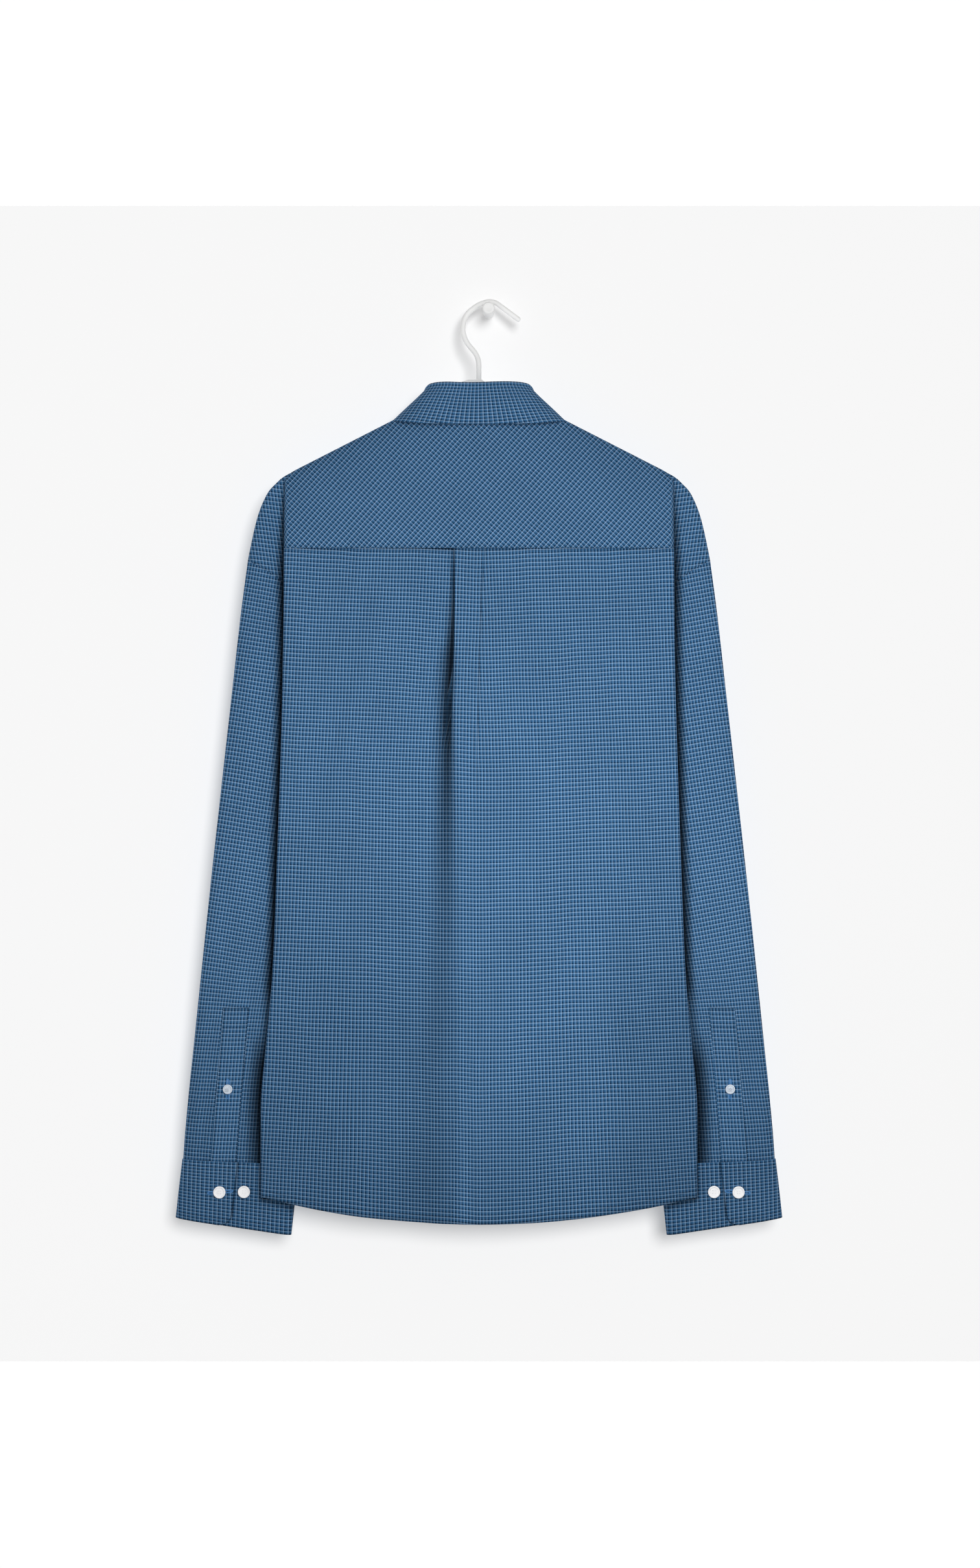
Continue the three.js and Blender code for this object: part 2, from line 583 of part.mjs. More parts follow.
// The peg stands out from the wall along -Y: wall flange, stem, and the knob that keeps the hook on.
const PEG_PROFILE = [[0, -50], [4.2, -50], [5.5, -48.6], [5.5, -44], [PEG_STEM, -42], [PEG_STEM, -5], [5.5, -2.5],
  [5.5, 0], [0, 0]];
const wallPeg = () => new THREE.LatheGeometry(PEG_PROFILE.map(([r, y]) => new THREE.Vector2(r, y)), 20);

// The whole shirt ------------------------------------------------------------------------------

const shirt = new THREE.Group();

function addPiece(name, geometry, material) {
  const mesh = new THREE.Mesh(geometry, material);
  mesh.name = name;
  shirt.add(mesh);
}

addPiece('yoke', yoke(), BIAS_SHIRTING);
addPiece('back_panel', backPanel(), SHIRTING);
addPiece('collar_stand', collarStand(), SHIRTING);
addPiece('collar_leaf', collarLeaf(), SHIRTING);

const onSleeve = sleeveBack() - CLOTH * 1.5 - SEAM * 2;
const onCuff = -CUFF_HALF - BAND / 2 - SEAM;
for (const [hand, side] of [['left', -1], ['right', 1]]) {
  addPiece(`front_${hand}`, frontPanel(side), SHIRTING);
  addPiece(`shoulder_${hand}`, shoulder(side), SHIRTING);
  addPiece(`sleeve_${hand}`, sleeve(side), SHIRTING);
  addPiece(`gauntlet_${hand}`, gauntlet(side), SHIRTING);
  addPiece(`cuff_${hand}`, cuff(side), SHIRTING);
  shirt.add(buttonMesh(`gauntlet_button_${hand}`, SMALL_BUTTON, GREY_BUTTON, side * 236.9, onSleeve, -739.6, -1));
  shirt.add(buttonMesh(`cuff_button_${hand}_fastened`, BUTTON, WHITE_BUTTON, side * 244.6,
    onCuff - CUFF_LAP_STEP, -836.6, -1));
  shirt.add(buttonMesh(`cuff_button_${hand}_free`, BUTTON, WHITE_BUTTON, side * 221.7, onCuff, -836.6, -1));
}

for (let i = 0; i < FRONT_BUTTONS; i += 1) {
  const z = FRONT_BUTTON_TOP_Z - i * FRONT_BUTTON_PITCH;
  shirt.add(buttonMesh(`front_button_${i + 1}`, BUTTON, WHITE_BUTTON, 0, BODY_HALF + CLOTH / 2 + SEAM, z, 1));
}

addPiece('hanger_body', hangerBody(), WHITE_PLASTIC);
addPiece('hanger_hook', hangerHook(), WHITE_PLASTIC);
addPiece('wall_peg', wallPeg(), WHITE_PLASTIC);

export default shirt;
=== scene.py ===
"""A long-sleeved check shirt, seen from its back, on a plastic hanger that hooks over a round wall peg."""

import math

import bmesh
import bpy
from mathutils import Matrix, Vector, noise


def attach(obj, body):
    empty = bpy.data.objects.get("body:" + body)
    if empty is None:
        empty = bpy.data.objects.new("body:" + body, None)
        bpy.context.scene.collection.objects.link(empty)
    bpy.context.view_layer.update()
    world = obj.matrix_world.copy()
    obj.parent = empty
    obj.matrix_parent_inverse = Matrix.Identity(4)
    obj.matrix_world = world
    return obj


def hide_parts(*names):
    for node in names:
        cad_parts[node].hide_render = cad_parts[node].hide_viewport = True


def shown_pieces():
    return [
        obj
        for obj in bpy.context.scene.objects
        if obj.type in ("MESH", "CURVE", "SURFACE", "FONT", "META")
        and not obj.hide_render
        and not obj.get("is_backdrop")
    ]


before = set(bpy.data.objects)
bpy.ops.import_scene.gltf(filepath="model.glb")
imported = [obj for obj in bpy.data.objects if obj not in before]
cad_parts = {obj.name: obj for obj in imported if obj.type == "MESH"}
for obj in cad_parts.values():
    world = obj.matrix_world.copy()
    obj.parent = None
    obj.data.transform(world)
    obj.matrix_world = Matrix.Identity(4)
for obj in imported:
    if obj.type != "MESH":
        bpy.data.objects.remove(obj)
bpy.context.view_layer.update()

MM = 0.001

# Main dimensions, in millimetres. The wall is the plane y = 0 and the shirt hangs before it, at
# negative y, with its back to the viewer. Depth is measured from the shirt's middle plane.

SHIRT_X = -9
CENTRE_Y = -34
BODY_HALF = 16
TURN_HALF = 8.8
NECK_HALF = 84.8
NECK_RIDGE_Z = -109.3
SHOULDER_SLOPE = 0.511
SHOULDER_BEND_X = 178
SHOULDER_BEND = 0.026
RIDGE_FALL = 60
YOKE_FRONT_DROP = 28
NECK_BACK_Z = -105.6
NECK_FRONT_Z = -160
NECK_CORNER = 77
YOKE_SEAM_Z = -229.7
HEM_BACK_Z = -865.3
HEM_FRONT_Z = -858
HEM_RISE = 25.6
HEM_CURVE = 2.2
HEM_HALF = 205.4
YOKE_HALF = 183.6
HEM_STITCH = 6.5
EDGE_STITCH = 5.5
NO_STITCH = 99
SIDE_RISE = 40
ARMPIT_Z = -400
FRONT_LAP = 17
CUFF_HALF = 6.5
CLOTH = 0.55
BAND = 1.5
COLLAR_CLOTH = 0.9

WARP = 3.08
WEFT = 4.08

# Small tools --------------------------------------------------------------------------------------


def mix(a, b, share):
    return a + (b - a) * share


def clamp(value, low=0.0, high=1.0):
    return max(low, min(high, value))


def steps(first, last, count):
    return [mix(first, last, k / count) for k in range(count + 1)]


def ease(value):
    value = clamp(value)
    return value * value * (3 - 2 * value)


def curve(points, x):
    """Smooth line through (x, y) points given from low x to high x, held level past its ends."""
    if x <= points[0][0]:
        return points[0][1]
    if x >= points[-1][0]:
        return points[-1][1]
    k = next(i for i in range(1, len(points)) if x <= points[i][0])
    (x0, y0), (x1, y1) = points[k - 1], points[k]

    def slope(i):
        if i == 0 or i == len(points) - 1:
            j = 1 if i == 0 else i
            return (points[j][1] - points[j - 1][1]) / (points[j][0] - points[j - 1][0])
        before = (points[i][1] - points[i - 1][1]) / (points[i][0] - points[i - 1][0])
        after = (points[i + 1][1] - points[i][1]) / (points[i + 1][0] - points[i][0])
        return 0 if before * after <= 0 else 2 * before * after / (before + after)

    t, h = (x - x0) / (x1 - x0), x1 - x0
    return (
        y0 * (1 + 2 * t) * (1 - t) ** 2
        + y1 * t * t * (3 - 2 * t)
        + slope(k - 1) * h * t * (1 - t) ** 2
        + slope(k) * h * t * t * (t - 1)
    )


def by_height(table, column):
    """The (z, value) points of one column of a table, from low to high."""
    return sorted((row[0], row[column]) for row in table)


def at(x, depth, z):
    """A point of the shirt: across from its centre line, out from its middle plane, and up."""
    return Vector((SHIRT_X + x, CENTRE_Y + depth, z))


# Tables -------------------------------------------------------------------------------------------

# Body edge: height, half width to the fold, and how far the cloth is turned in behind it.
BODY = [
    (-170, 183.6, 8), (-200, 183.6, 16), (-229.7, 183.6, 25), (-280, 183.8, 52), (-340, 184.6, 88),
    (-400, 186, 116), (-520, 190, 112), (-628, 194.3, 106), (-695, 200.3, 100), (-760, 205.4, 95),
    (-866, 205.4, 95),
]
FOLD, TURN = by_height(BODY, 1), by_height(BODY, 2)

# Sleeve: height at the outer edge, outer and inner edge, fall from the one to the other, half depth.
SLEEVE = [
    (-239.5, 218.4, 78, 162, 6), (-290, 225.1, 80, 134, 6.2), (-360, 233, 87, 100, 6.5),
    (-458, 244, 104, 64, 6.8), (-555, 254.7, 122, 38, 6.8), (-640, 263.6, 138, 22, 6.8),
    (-700, 269.8, 149, 13, 6.8), (-750, 275, 158, 8, 6.8), (-804.5, 279.5, 165.8, 5, 6.4),
    (-807, 279.6, 166.4, 5, 5.6), (-810, 279.8, 167, 5, 4.4),
]

# Drop-shoulder end of the front, in the same columns.
SHOULDER = [
    (-155.5, 173.6, 160, 2, 1.5), (-158.5, 180.1, 163, 3, 3.0), (-162.5, 186.6, 167, 4, 4.2),
    (-168.2, 192.6, 172, 6, 4.8), (-174, 198.2, 170, 13, 5.2), (-183.3, 203.4, 166, 27, 5.6),
    (-195.5, 208.3, 155, 52, 6), (-209, 212, 132, 86, 6), (-224, 215.3, 104, 124, 6),
    (-238.8, 218.3, 78, 162, 6),
]

# Cuff edges: outer and inner corner, from the seam down.
CUFF = [(280, -806.4, 171, -811.4), (283.3, -834, 174.6, -844.7), (286.3, -861.8, 178.3, -878.2)]

# Collar, from the centre back round one side to the centre front: neck seam, fold, free edge.
COLLAR = [
    ((0, -15, -105), (0, -17.5, -73.5), (0, -20, -113.3)),
    ((18, -15, -105), (16, -17.5, -73.4), (23, -20, -113.2)),
    ((36, -13.4, -104.8), (31, -16.5, -73.4), (46, -19, -112.8)),
    ((52, -10, -104), (42, -12.5, -73.9), (64.5, -15.5, -111.6)),
    ((63, -5.5, -101.8), (48, -6, -75.5), (75.5, -9.6, -110.1)),
    ((68.5, 0, -100), (50.5, 1.5, -80), (82.3, 0, -108.8)),
    ((71.5, 6, -105), (49.5, 8, -88), (83.5, 8.5, -113)),
    ((71.5, 13, -121), (43, 13.5, -101), (80, 16, -128)),
    ((59, 16, -140.5), (30, 16.8, -119), (72, 20, -152)),
    ((36, 16.6, -152.8), (16, 18, -135), (60, 20.8, -180)),
    ((3, 16.4, -159), (4, 18.6, -146), (47, 21, -203)),
]

# Gauntlet centre line, on the sleeve's back.
GAUNTLET_TOP_Z = -662.8
GAUNTLET = [(-804.5, 240.9), (-775, 238.5), (-740, 235.7), (-700, 232.4), (GAUNTLET_TOP_Z, 229.4)]
GAUNTLET_WIDTH = 24

# Buttons: places across and heights, and the row down the front.
CUFF_BUTTON_Z = -836.6
CUFF_BUTTON_LAPPED, CUFF_BUTTON_SPARE, CUFF_HOLE = 244.6, 221.7, 244
GAUNTLET_BUTTON = (236.9, -739.6)
FRONT_BUTTONS, FRONT_BUTTON_TOP_Z, FRONT_BUTTON_PITCH = 7, -184, 88

# Camera, wall and light ---------------------------------------------------------------------------

scene = bpy.context.scene
scene.view_settings.view_transform = "Standard"
scene.view_settings.look = "None"
camera_data = bpy.data.cameras.new("camera")
camera_data.lens = 59.8
camera = bpy.data.objects.new("camera", camera_data)
camera.location = (0.0014, -2.5, -0.4517)
camera.rotation_euler = (math.pi / 2, 0, 0)
scene.collection.objects.link(camera)
scene.camera = camera


def srgb(red, green, blue):
    """A colour given as screen values from 0 to 255, in linear light."""
    def linear(value):
        value /= 255
        return value / 12.92 if value <= 0.04045 else ((value + 0.055) / 1.055) ** 2.4
    return (linear(red), linear(green), linear(blue), 1)


class Surface:
    """A material, and short ways to add its nodes."""

    def __init__(self, name):
        self.material = bpy.data.materials.new(name)
        self.material.use_nodes = True
        self.tree = self.material.node_tree
        self.shader = self.tree.nodes["Principled BSDF"]
        self.output = self.tree.nodes["Material Output"]

    def node(self, kind, **settings):
        made = self.tree.nodes.new("ShaderNode" + kind)
        for key, value in settings.items():
            setattr(made, key, value)
        return made

    def feed(self, socket, value):
        if isinstance(value, bpy.types.NodeSocket):
            self.tree.links.new(value, socket)
        else:
            socket.default_value = value

    def math(self, operation, *values, limit=False):
        made = self.node("Math", operation=operation, use_clamp=limit)
        for socket, value in zip(made.inputs, values):
            self.feed(socket, value)
        return made.outputs[0]

    def blend(self, share, first, second, mode="MIX"):
        made = self.node("Mix", data_type="RGBA", blend_type=mode)
        self.feed(made.inputs[0], share)
        self.feed(made.inputs[6], first)
        self.feed(made.inputs[7], second)
        return made.outputs[2]

    def split(self, vector):
        made = self.node("SeparateXYZ")
        self.feed(made.inputs[0], vector)
        return made.outputs

    def grey(self, value):
        made = self.node("CombineXYZ")
        for socket in made.inputs:
            self.feed(socket, value)
        return made.outputs[0]

    def ramp(self, value, stops):
        made = self.node("ValToRGB")
        while len(made.color_ramp.elements) < len(stops):
            made.color_ramp.elements.new(0.5)
        for element, (place, colour) in zip(made.color_ramp.elements, stops):
            element.position = place
            element.color = colour if isinstance(colour, tuple) else (colour,) * 3 + (1,)
        self.feed(made.inputs[0], value)
        return made.outputs[0]

    def noise(self, vector, scale, detail=2.0):
        made = self.node("TexNoise")
        self.feed(made.inputs["Vector"], vector)
        self.feed(made.inputs["Scale"], scale)
        self.feed(made.inputs["Detail"], detail)
        return made.outputs["Fac"]

    def stretched(self, vector, across, along):
        made = self.node("VectorMath", operation="MULTIPLY")
        self.feed(made.inputs[0], vector)
        made.inputs[1].default_value = (across, along, 1)
        return made.outputs[0]

    def attribute(self, name):
        return self.node("Attribute", attribute_name=name).outputs["Fac"]

    def set(self, **inputs):
        for name, value in inputs.items():
            self.feed(self.shader.inputs[name.replace("_", " ")], value)


def stage_object(mesh, material):
    mesh.materials.append(material)
    made = bpy.data.objects.new(mesh.name, mesh)
    scene.collection.objects.link(made)
    made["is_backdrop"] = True
    return made


def wall_material(name, shown, glow):
    """Pale paint seen from the room, and nothing at all from behind, so the wall never hides the shirt.

    It is a touch darker up and to the right, where its lamp is nearer.
    """
    wall = Surface(name)
    right, _, up = wall.split(wall.node("TexCoord").outputs["Object"])
    less = wall.math("MULTIPLY_ADD", right, 0.042, wall.math("MULTIPLY_ADD", up, 0.036, 0.052))
    shown = wall.blend(1.0, wall.grey(wall.math("SUBTRACT", 1.0, less)), shown, "MULTIPLY")
    paint = wall.node("BsdfDiffuse")
    wall.feed(paint.inputs["Color"], shown)
    light = wall.node("Emission")
    wall.feed(light.inputs["Color"], shown)
    light.inputs["Strength"].default_value = 1
    front = wall.node("MixShader")
    front.inputs[0].default_value = glow
    wall.feed(front.inputs[1], paint.outputs[0])
    wall.feed(front.inputs[2], light.outputs[0])
    both = wall.node("MixShader")
    wall.feed(both.inputs[0], wall.node("NewGeometry").outputs["Backfacing"])
    wall.feed(both.inputs[1], front.outputs[0])
    wall.feed(both.inputs[2], wall.node("BsdfTransparent").outputs[0])
    wall.feed(wall.output.inputs["Surface"], both.outputs[0])
    return wall.material


WALL_HALF, WALL_BACK, WALL_LOW, WALL_HIGH = 1.6, 0.002, -1.0063, 0.1036
wall_mesh = bpy.data.meshes.new("wall")
wall_mesh.from_pydata(
    [(-WALL_HALF, WALL_BACK, WALL_LOW), (WALL_HALF, WALL_BACK, WALL_LOW),
     (WALL_HALF, WALL_BACK, WALL_HIGH), (-WALL_HALF, WALL_BACK, WALL_HIGH)], [], [range(4)])
wall = stage_object(wall_mesh, wall_material("pale_wall", srgb(248, 248, 248), 0.4))
wall.visible_shadow = False

# A white studio dome that is only seen, and lights nothing.
dome_mesh = bpy.data.meshes.new("dome")
shaping = bmesh.new()
bmesh.ops.create_icosphere(shaping, subdivisions=4, radius=9)
shaping.to_mesh(dome_mesh)
shaping.free()
white = Surface("white_dome")
glow = white.node("Emission")
glow.inputs["Color"].default_value = (1.01, 1.01, 1.01, 1)
white.feed(white.output.inputs["Surface"], glow.outputs[0])
dome = stage_object(dome_mesh, white.material)
dome.visible_diffuse = dome.visible_glossy = dome.visible_transmission = dome.visible_shadow = False

world = bpy.data.worlds.new("studio")
world.use_nodes = True
world.node_tree.nodes["Background"].inputs["Color"].default_value = (1, 1, 1, 1)
world.node_tree.nodes["Background"].inputs["Strength"].default_value = 0.16
scene.world = world

# The wall has a lamp of its own, so that the lamps that rake the folds throw no long shadows on it.
lit_wall = bpy.data.collections.new("lit_wall")
lit_wall.objects.link(wall)
lit_pieces = bpy.data.collections.new("lit_pieces")


def lamp(name, place, size, power, reaches):
    data = bpy.data.lights.new(name, "AREA")
    data.shape, data.size, data.energy = "DISK", size, power
    made = bpy.data.objects.new(name, data)
    made.location = place
    made.rotation_euler = (Vector((0.06, 0, -0.5)) - Vector(place)).to_track_quat("-Z", "Y").to_euler()
    scene.collection.objects.link(made)
    made.visible_camera = False
    made.light_linking.receiver_collection = reaches


lamp("wall_light", (1.6, -7.4, 1.35), 3.6, 590, lit_wall)
lamp("front_light", (0.5, -3.2, 0.5), 1.6, 33, lit_pieces)
lamp("raking_light", (5.0, -2.4, 1.0), 1.35, 42, lit_pieces)
lamp("left_fill", (-2.0, -2.1, -1.2), 1.8, 16, lit_pieces)
lamp("near_light", (0.08, -0.62, -0.48), 0.25, 1.7, lit_pieces)
lamp("back_light", (-1.6, 2.4, 0.6), 1.4, 36, lit_pieces)

# Shirting -----------------------------------------------------------------------------------------


def shirting(name):
    """Fine woven check. Its cloth map is in millimetres: x along the weft, y along the warp."""
    cloth = Surface(name)
    place = cloth.node("UVMap", uv_map="cloth").outputs[0]
    across, along, _ = cloth.split(place)
    light, middle, dark = srgb(156, 194, 233), srgb(56, 105, 150), srgb(12, 42, 71)

    warp = cloth.ramp(
        cloth.math("FRACT", cloth.math("DIVIDE", across, WARP)),
        [(0.0, light), (0.044, light), (0.144, dark), (0.444, dark), (0.584, middle), (0.9, middle),
         (1.0, light)],
    )
    weft = cloth.ramp(
        cloth.math("FRACT", cloth.math("DIVIDE", along, -WEFT)),
        [(0.0, light), (0.142, light), (0.242, middle), (0.6, middle), (0.74, dark), (0.92, dark),
         (1.0, light)],
    )
    colour = cloth.blend(0.43, warp, weft)

    def streak(across, along, low, high):
        """Uneven yarn: long narrow patches a little lighter or darker."""
        patch = cloth.noise(cloth.stretched(place, across, along), 1.0)
        return cloth.ramp(patch, [(0.3, low), (0.7, high)])

    shade = cloth.math("MULTIPLY", streak(1.3, 0.03, 0.93, 1.07), streak(0.03, 1.1, 0.95, 1.05))
    shade = cloth.math("MULTIPLY", shade, streak(0.016, 0.011, 0.96, 1.04))

    # Stitching sits in a narrow groove, which the bump sinks and painted shade darkens.
    # Painted shade also darkens the cloth by how far each knot is shut from the light, between layers and in
    # folds.
    off_stitch = cloth.math("ABSOLUTE", cloth.attribute("stitch"))
    groove = cloth.math("SUBTRACT", 1.0, cloth.math("DIVIDE", off_stitch, 1.1), limit=True)
    shade = cloth.math("MULTIPLY", shade, cloth.math("MULTIPLY_ADD", groove, -0.22, 1.0))
    painted_occlusion = cloth.math("MULTIPLY_ADD", cloth.attribute("crease"), -0.985, 1.0, limit=True)
    shade = cloth.math("MULTIPLY", shade, painted_occlusion)
    colour = cloth.blend(1.0, colour, cloth.grey(shade), "MULTIPLY")

    yarns = cloth.math("ADD", cloth.math("SINE", cloth.math("MULTIPLY", across, 2 * math.pi / 0.37)),
                       cloth.math("SINE", cloth.math("MULTIPLY", along, 2 * math.pi / 0.41)))
    relief = cloth.math("MULTIPLY_ADD", groove, -2.0, cloth.math("MULTIPLY", yarns, 0.12))
    bump = cloth.node("Bump")
    bump.inputs["Strength"].default_value = 0.5
    bump.inputs["Distance"].default_value = 0.0003
    cloth.feed(bump.inputs["Height"], relief)
    cloth.set(Base_Color=colour, Roughness=0.9, Specular_IOR_Level=0.08, Normal=bump.outputs[0],
              Sheen_Weight=0.02, Sheen_Roughness=0.4, Sheen_Tint=(0.7, 0.85, 1, 1))
    return cloth.material


SHIRTING = shirting("shirting")
BIAS_SHIRTING = shirting("bias_shirting")

# Cloth sheets -------------------------------------------------------------------------------------


def cloth_sheet(name, rows, thickness=CLOTH, has=None, material=SHIRTING):
    """A thin shell about rows of knots, with its cloth map.

    A knot is its place in millimetres, its place on the cloth map, its distance from the nearest
    stitching, and the painted shade it takes for how far it is shut away from the light. has(i, j) says
    whether the cell above row i and after column j is cloth.
    """
    across = len(rows[0])
    used, order, faces, corners = {}, [], [], []

    def vertex(i, j):
        key = i * across + j
        if key not in used:
            used[key] = len(order)
            order.append((i, j))
        return used[key]

    for i in range(len(rows) - 1):
        for j in range(across - 1):
            if has and not has(i, j):
                continue
            cell = [(i, j), (i, j + 1), (i + 1, j + 1), (i + 1, j)]
            faces.append([vertex(*place) for place in cell])
            corners += cell
    mesh = bpy.data.meshes.new(name)
    mesh.from_pydata([rows[i][j][0] * MM for i, j in order], [], faces)
    uv = mesh.uv_layers.new(name="cloth")
    uv.data.foreach_set("uv", [value for i, j in corners for value in rows[i][j][1]])
    # The stitch distance, and the painted shade that darkens the cloth's colour.
    for label, column in (("stitch", 2), ("crease", 3)):
        layer = mesh.attributes.new(label, "FLOAT", "POINT")
        layer.data.foreach_set("value", [rows[i][j][column] for i, j in order])
    mesh.shade_smooth()
    mesh.materials.append(material)
    made = bpy.data.objects.new(name, mesh)
    scene.collection.objects.link(made)
    shell = made.modifiers.new("shell", "SOLIDIFY")
    shell.thickness, shell.offset = thickness * MM, 0
    return made


def ridge_z(x):
    past = max(abs(x) - SHOULDER_BEND_X, 0)
    return NECK_RIDGE_Z - (abs(x) - NECK_HALF) * SHOULDER_SLOPE - SHOULDER_BEND * past**2


def body_half(x, z):
    share = clamp((ridge_z(x) - z) / RIDGE_FALL)
    return BODY_HALF * math.sqrt(1 - (1 - share) ** 2)


def hem_z(lowest, x, turned=0.0):
    return lowest + HEM_RISE * min(abs(x) / HEM_HALF, 1) ** HEM_CURVE + SIDE_RISE * turned


def edge_place(angle, turned, z, narrower=0.0):
    """A place round the folded side edge: distance out from the centre line, and depth."""
    fold, turn = curve(FOLD, z) - narrower, curve(TURN, z) - narrower
    half = body_half(min(fold, YOKE_HALF), z)
    inner = min(TURN_HALF, 0.55 * half)
    radius = (half - inner) / 2
    out = fold - radius + radius * math.sin(angle) - (turn - radius) * turned
    depth = inner + radius * (1 + math.cos(angle))
    shut = ease((turned - 0.9) / 0.1) * ease((ARMPIT_Z + 20 - z) / 35)
    return out, mix(depth, 0.75, shut)


# Soft ridges (+) and troughs (-) of the back: height, then place and half width at the top, middle and
# bottom of the stretch that they run over.
SOFT_FOLDS = [
    (0.7, -236, -116, -330, -119, -430, -128, 15, 20),
    (1.0, -236, -80, -380, -112, -560, -158, 16, 22),
    (-0.8, -240, -99, -380, -134, -560, -172, 14, 20),
    (0.7, -250, -168, -400, -166, -560, -170, 12, 14),
    (-0.6, -300, -50, -470, -58, -640, -70, 22, 26),
    (0.6, -236, 10, -300, 12, -400, 14, 11, 14),
    (-0.7, -240, 33, -330, 34, -430, 42, 14, 16),
    (1.0, -240, 50, -350, 68, -520, 86, 16, 20),
    (-0.9, -236, 80, -330, 104, -500, 140, 15, 22),
    (0.8, -330, 26, -470, 46, -660, 58, 14, 20),
    (-0.7, -420, 62, -560, 82, -700, 92, 16, 24),
    (0.8, -260, 118, -420, 140, -600, 160, 18, 24),
    (-1.1, -380, 134, -500, 156, -640, 166, 12, 18),
    (0.6, -560, -110, -700, -118, -860, -128, 24, 30),
    (-0.6, -600, -150, -740, -160, -860, -164, 18, 22),
    (-0.5, -640, -80, -760, -84, -860, -86, 22, 26),
]


def soft_folds(x, z):
    total = 0.0
    for height, top, x0, middle, x1, bottom, x2, wide0, wide1 in SOFT_FOLDS:
        if not bottom < z < top:
            continue
        run = (top - z) / (top - bottom)
        knee = (top - middle) / (top - bottom)
        centre = mix(x0, x1, run / knee) if run < knee else mix(x1, x2, (run - knee) / (1 - knee))
        centre = mix(centre, mix(x0, x2, run), 0.35)
        reach = abs(x - centre) / mix(wide0, wide1, run)
        if reach < 1:
            ends = ease(run / 0.18) * ease((1 - run) / 0.3)
            total += height * ends * (0.5 + 0.5 * math.cos(math.pi * reach))
    return total


# How far the lower back stands out from flat: a long slope up to the pleat, and a trough on the right.
SWELL = [
    (-205, 0), (-120, 2.6), (-60, 4.6), (-40, 4.8), (-28, 4.7), (-6, 6.2), (12, 6.0), (60, 3.2), (105, 0),
    (125, -0.8), (150, 0), (178, 1.7), (205, 1.0),
]


def back_swell(x, z):
    low = mix(0.3, 1, ease((-300 - z) / 400)) * ease((YOKE_SEAM_Z + 8 - z) / 90)
    return curve(SWELL, x) * low + soft_folds(x, z) + 0.5 * noise.noise(Vector((x / 55, z / 90, 1.7)))


# Box pleat below the yoke: height, left and right fold, tuck under each, and how far it has opened out.
PLEAT = [
    (-229.7, -22.4, 5.3, 12, 0), (-266, -22.5, 2.9, 11, 0), (-330, -23, 0.5, 9, 0), (-385, -26, -1, 6, 0.3),
    (-430, -28, -2, 4, 0.6), (-520, -30, -2, 1, 0.9), (-640, -32, 0, 0, 1), (-866, -34, 4, 0, 1),
]
PLEAT_LEFT, PLEAT_RIGHT, PLEAT_TUCK, PLEAT_OPEN = (by_height(PLEAT, k) for k in (1, 2, 3, 4))

# Stations of the left fold from the panel in to the box: distance out from the fold, share of the tuck
# that is added inwards, and share of its depth; then place and depth where it has opened out.
LEFT_FOLD = [
    (26, 0, 0.30, 40, 1.0), (18, 0, 0.62, 33, 1.0), (11, 0, 0.88, 27, 0.98), (6, 0, 1.0, 21, 0.90),
    (2.5, 0, 1.0, 16, 0.76), (0, 0.5, 1.0, 12, 0.58), (0, 1, 1.0, 9, 0.43), (-0.7, 1, 0.86, 6.5, 0.31),
    (0, 1, 0.72, 4.5, 0.21), (0, 0.5, 0.70, 2.5, 0.13), (0, 0, 0.66, 0.5, 0.07), (0.7, 0, 0.50, -1.5, 0.03),
    (1.0, 0, 0.30, -3.5, 0.01), (0.7, 0, 0.10, -5.5, 0.0), (-0.6, 0, 0.0, -8, 0.0), (-4, 0, 0.0, -10.5, 0.0),
]

# Stations of the right fold, which is pressed flat: place and share of its small step.
RIGHT_FOLD = [
    (20, 1), (12, 1), (6, 0.95), (3, 0.9), (1, 0.75), (0.2, 0.5), (-0.2, 0.15), (-1.2, 0), (-4, 0), (-8, 0),
]


def pleat_place(side, station, z):
    if side > 0:
        out, layer = RIGHT_FOLD[station]
        return curve(PLEAT_RIGHT, z) + out, 0.5 * layer
    out, tucked, layer, out_open, layer_open = LEFT_FOLD[station]
    opened = curve(PLEAT_OPEN, z)
    place = mix(out - tucked * curve(PLEAT_TUCK, z), out_open, opened)
    return curve(PLEAT_LEFT, z) - place, mix(2.8, 4.0, opened) * mix(layer, layer_open, opened)


# Painted shade in the pleat's valley, where the light is kept out: height, place, how dark, and half width on
# each side.
VALLEY = [
    (-229.7, -22.6, 0.35, 2.5, 0.6), (-241, -23.3, 0.65, 3, 0.6), (-266, -23.3, 0.9, 5, 0.6),
    (-299, -23.3, 0.97, 9, 0.8), (-336, -25, 0.99, 16, 3.5), (-385, -28, 0.92, 17, 7),
    (-433, -29, 0.76, 17, 10), (-497, -30, 0.56, 19, 14), (-571, -31, 0.36, 22, 18),
    (-647, -34, 0.26, 28, 24), (-732, -38, 0.19, 36, 40), (-866, -40, 0.16, 42, 44),
]
VALLEY_PLACE, VALLEY_DARK, VALLEY_LEFT, VALLEY_RIGHT = (by_height(VALLEY, k) for k in (1, 2, 3, 4))


def back_shade(x, z):
    """How far a place on the back is shut from the light, as painted shade: in the pleat's valley, low
    on the left and far right of the panels, towards the hem, and along the pressed right fold.
    """
    off = x - curve(VALLEY_PLACE, z)
    wide = curve(VALLEY_LEFT if off < 0 else VALLEY_RIGHT, z)
    valley = curve(VALLEY_DARK, z) * (1 - ease(abs(off) / wide))
    low = ease((-380 - z) / 340)
    left = 0.13 * low * ease((-20 - x) / 50)
    right = low * (0.12 * ease((x - 105) / 40) + 0.06 * ease((x - 150) / 50))
    hem = 0.11 * ease((-735 - z) / 130)
    pressed = 0.25 * (1 - ease(abs(x - curve(PLEAT_RIGHT, z)) / 1.6)) * (1 - ease((-380 - z) / 160))
    return 1 - (1 - valley) * (1 - left) * (1 - right) * (1 - hem) * (1 - pressed)


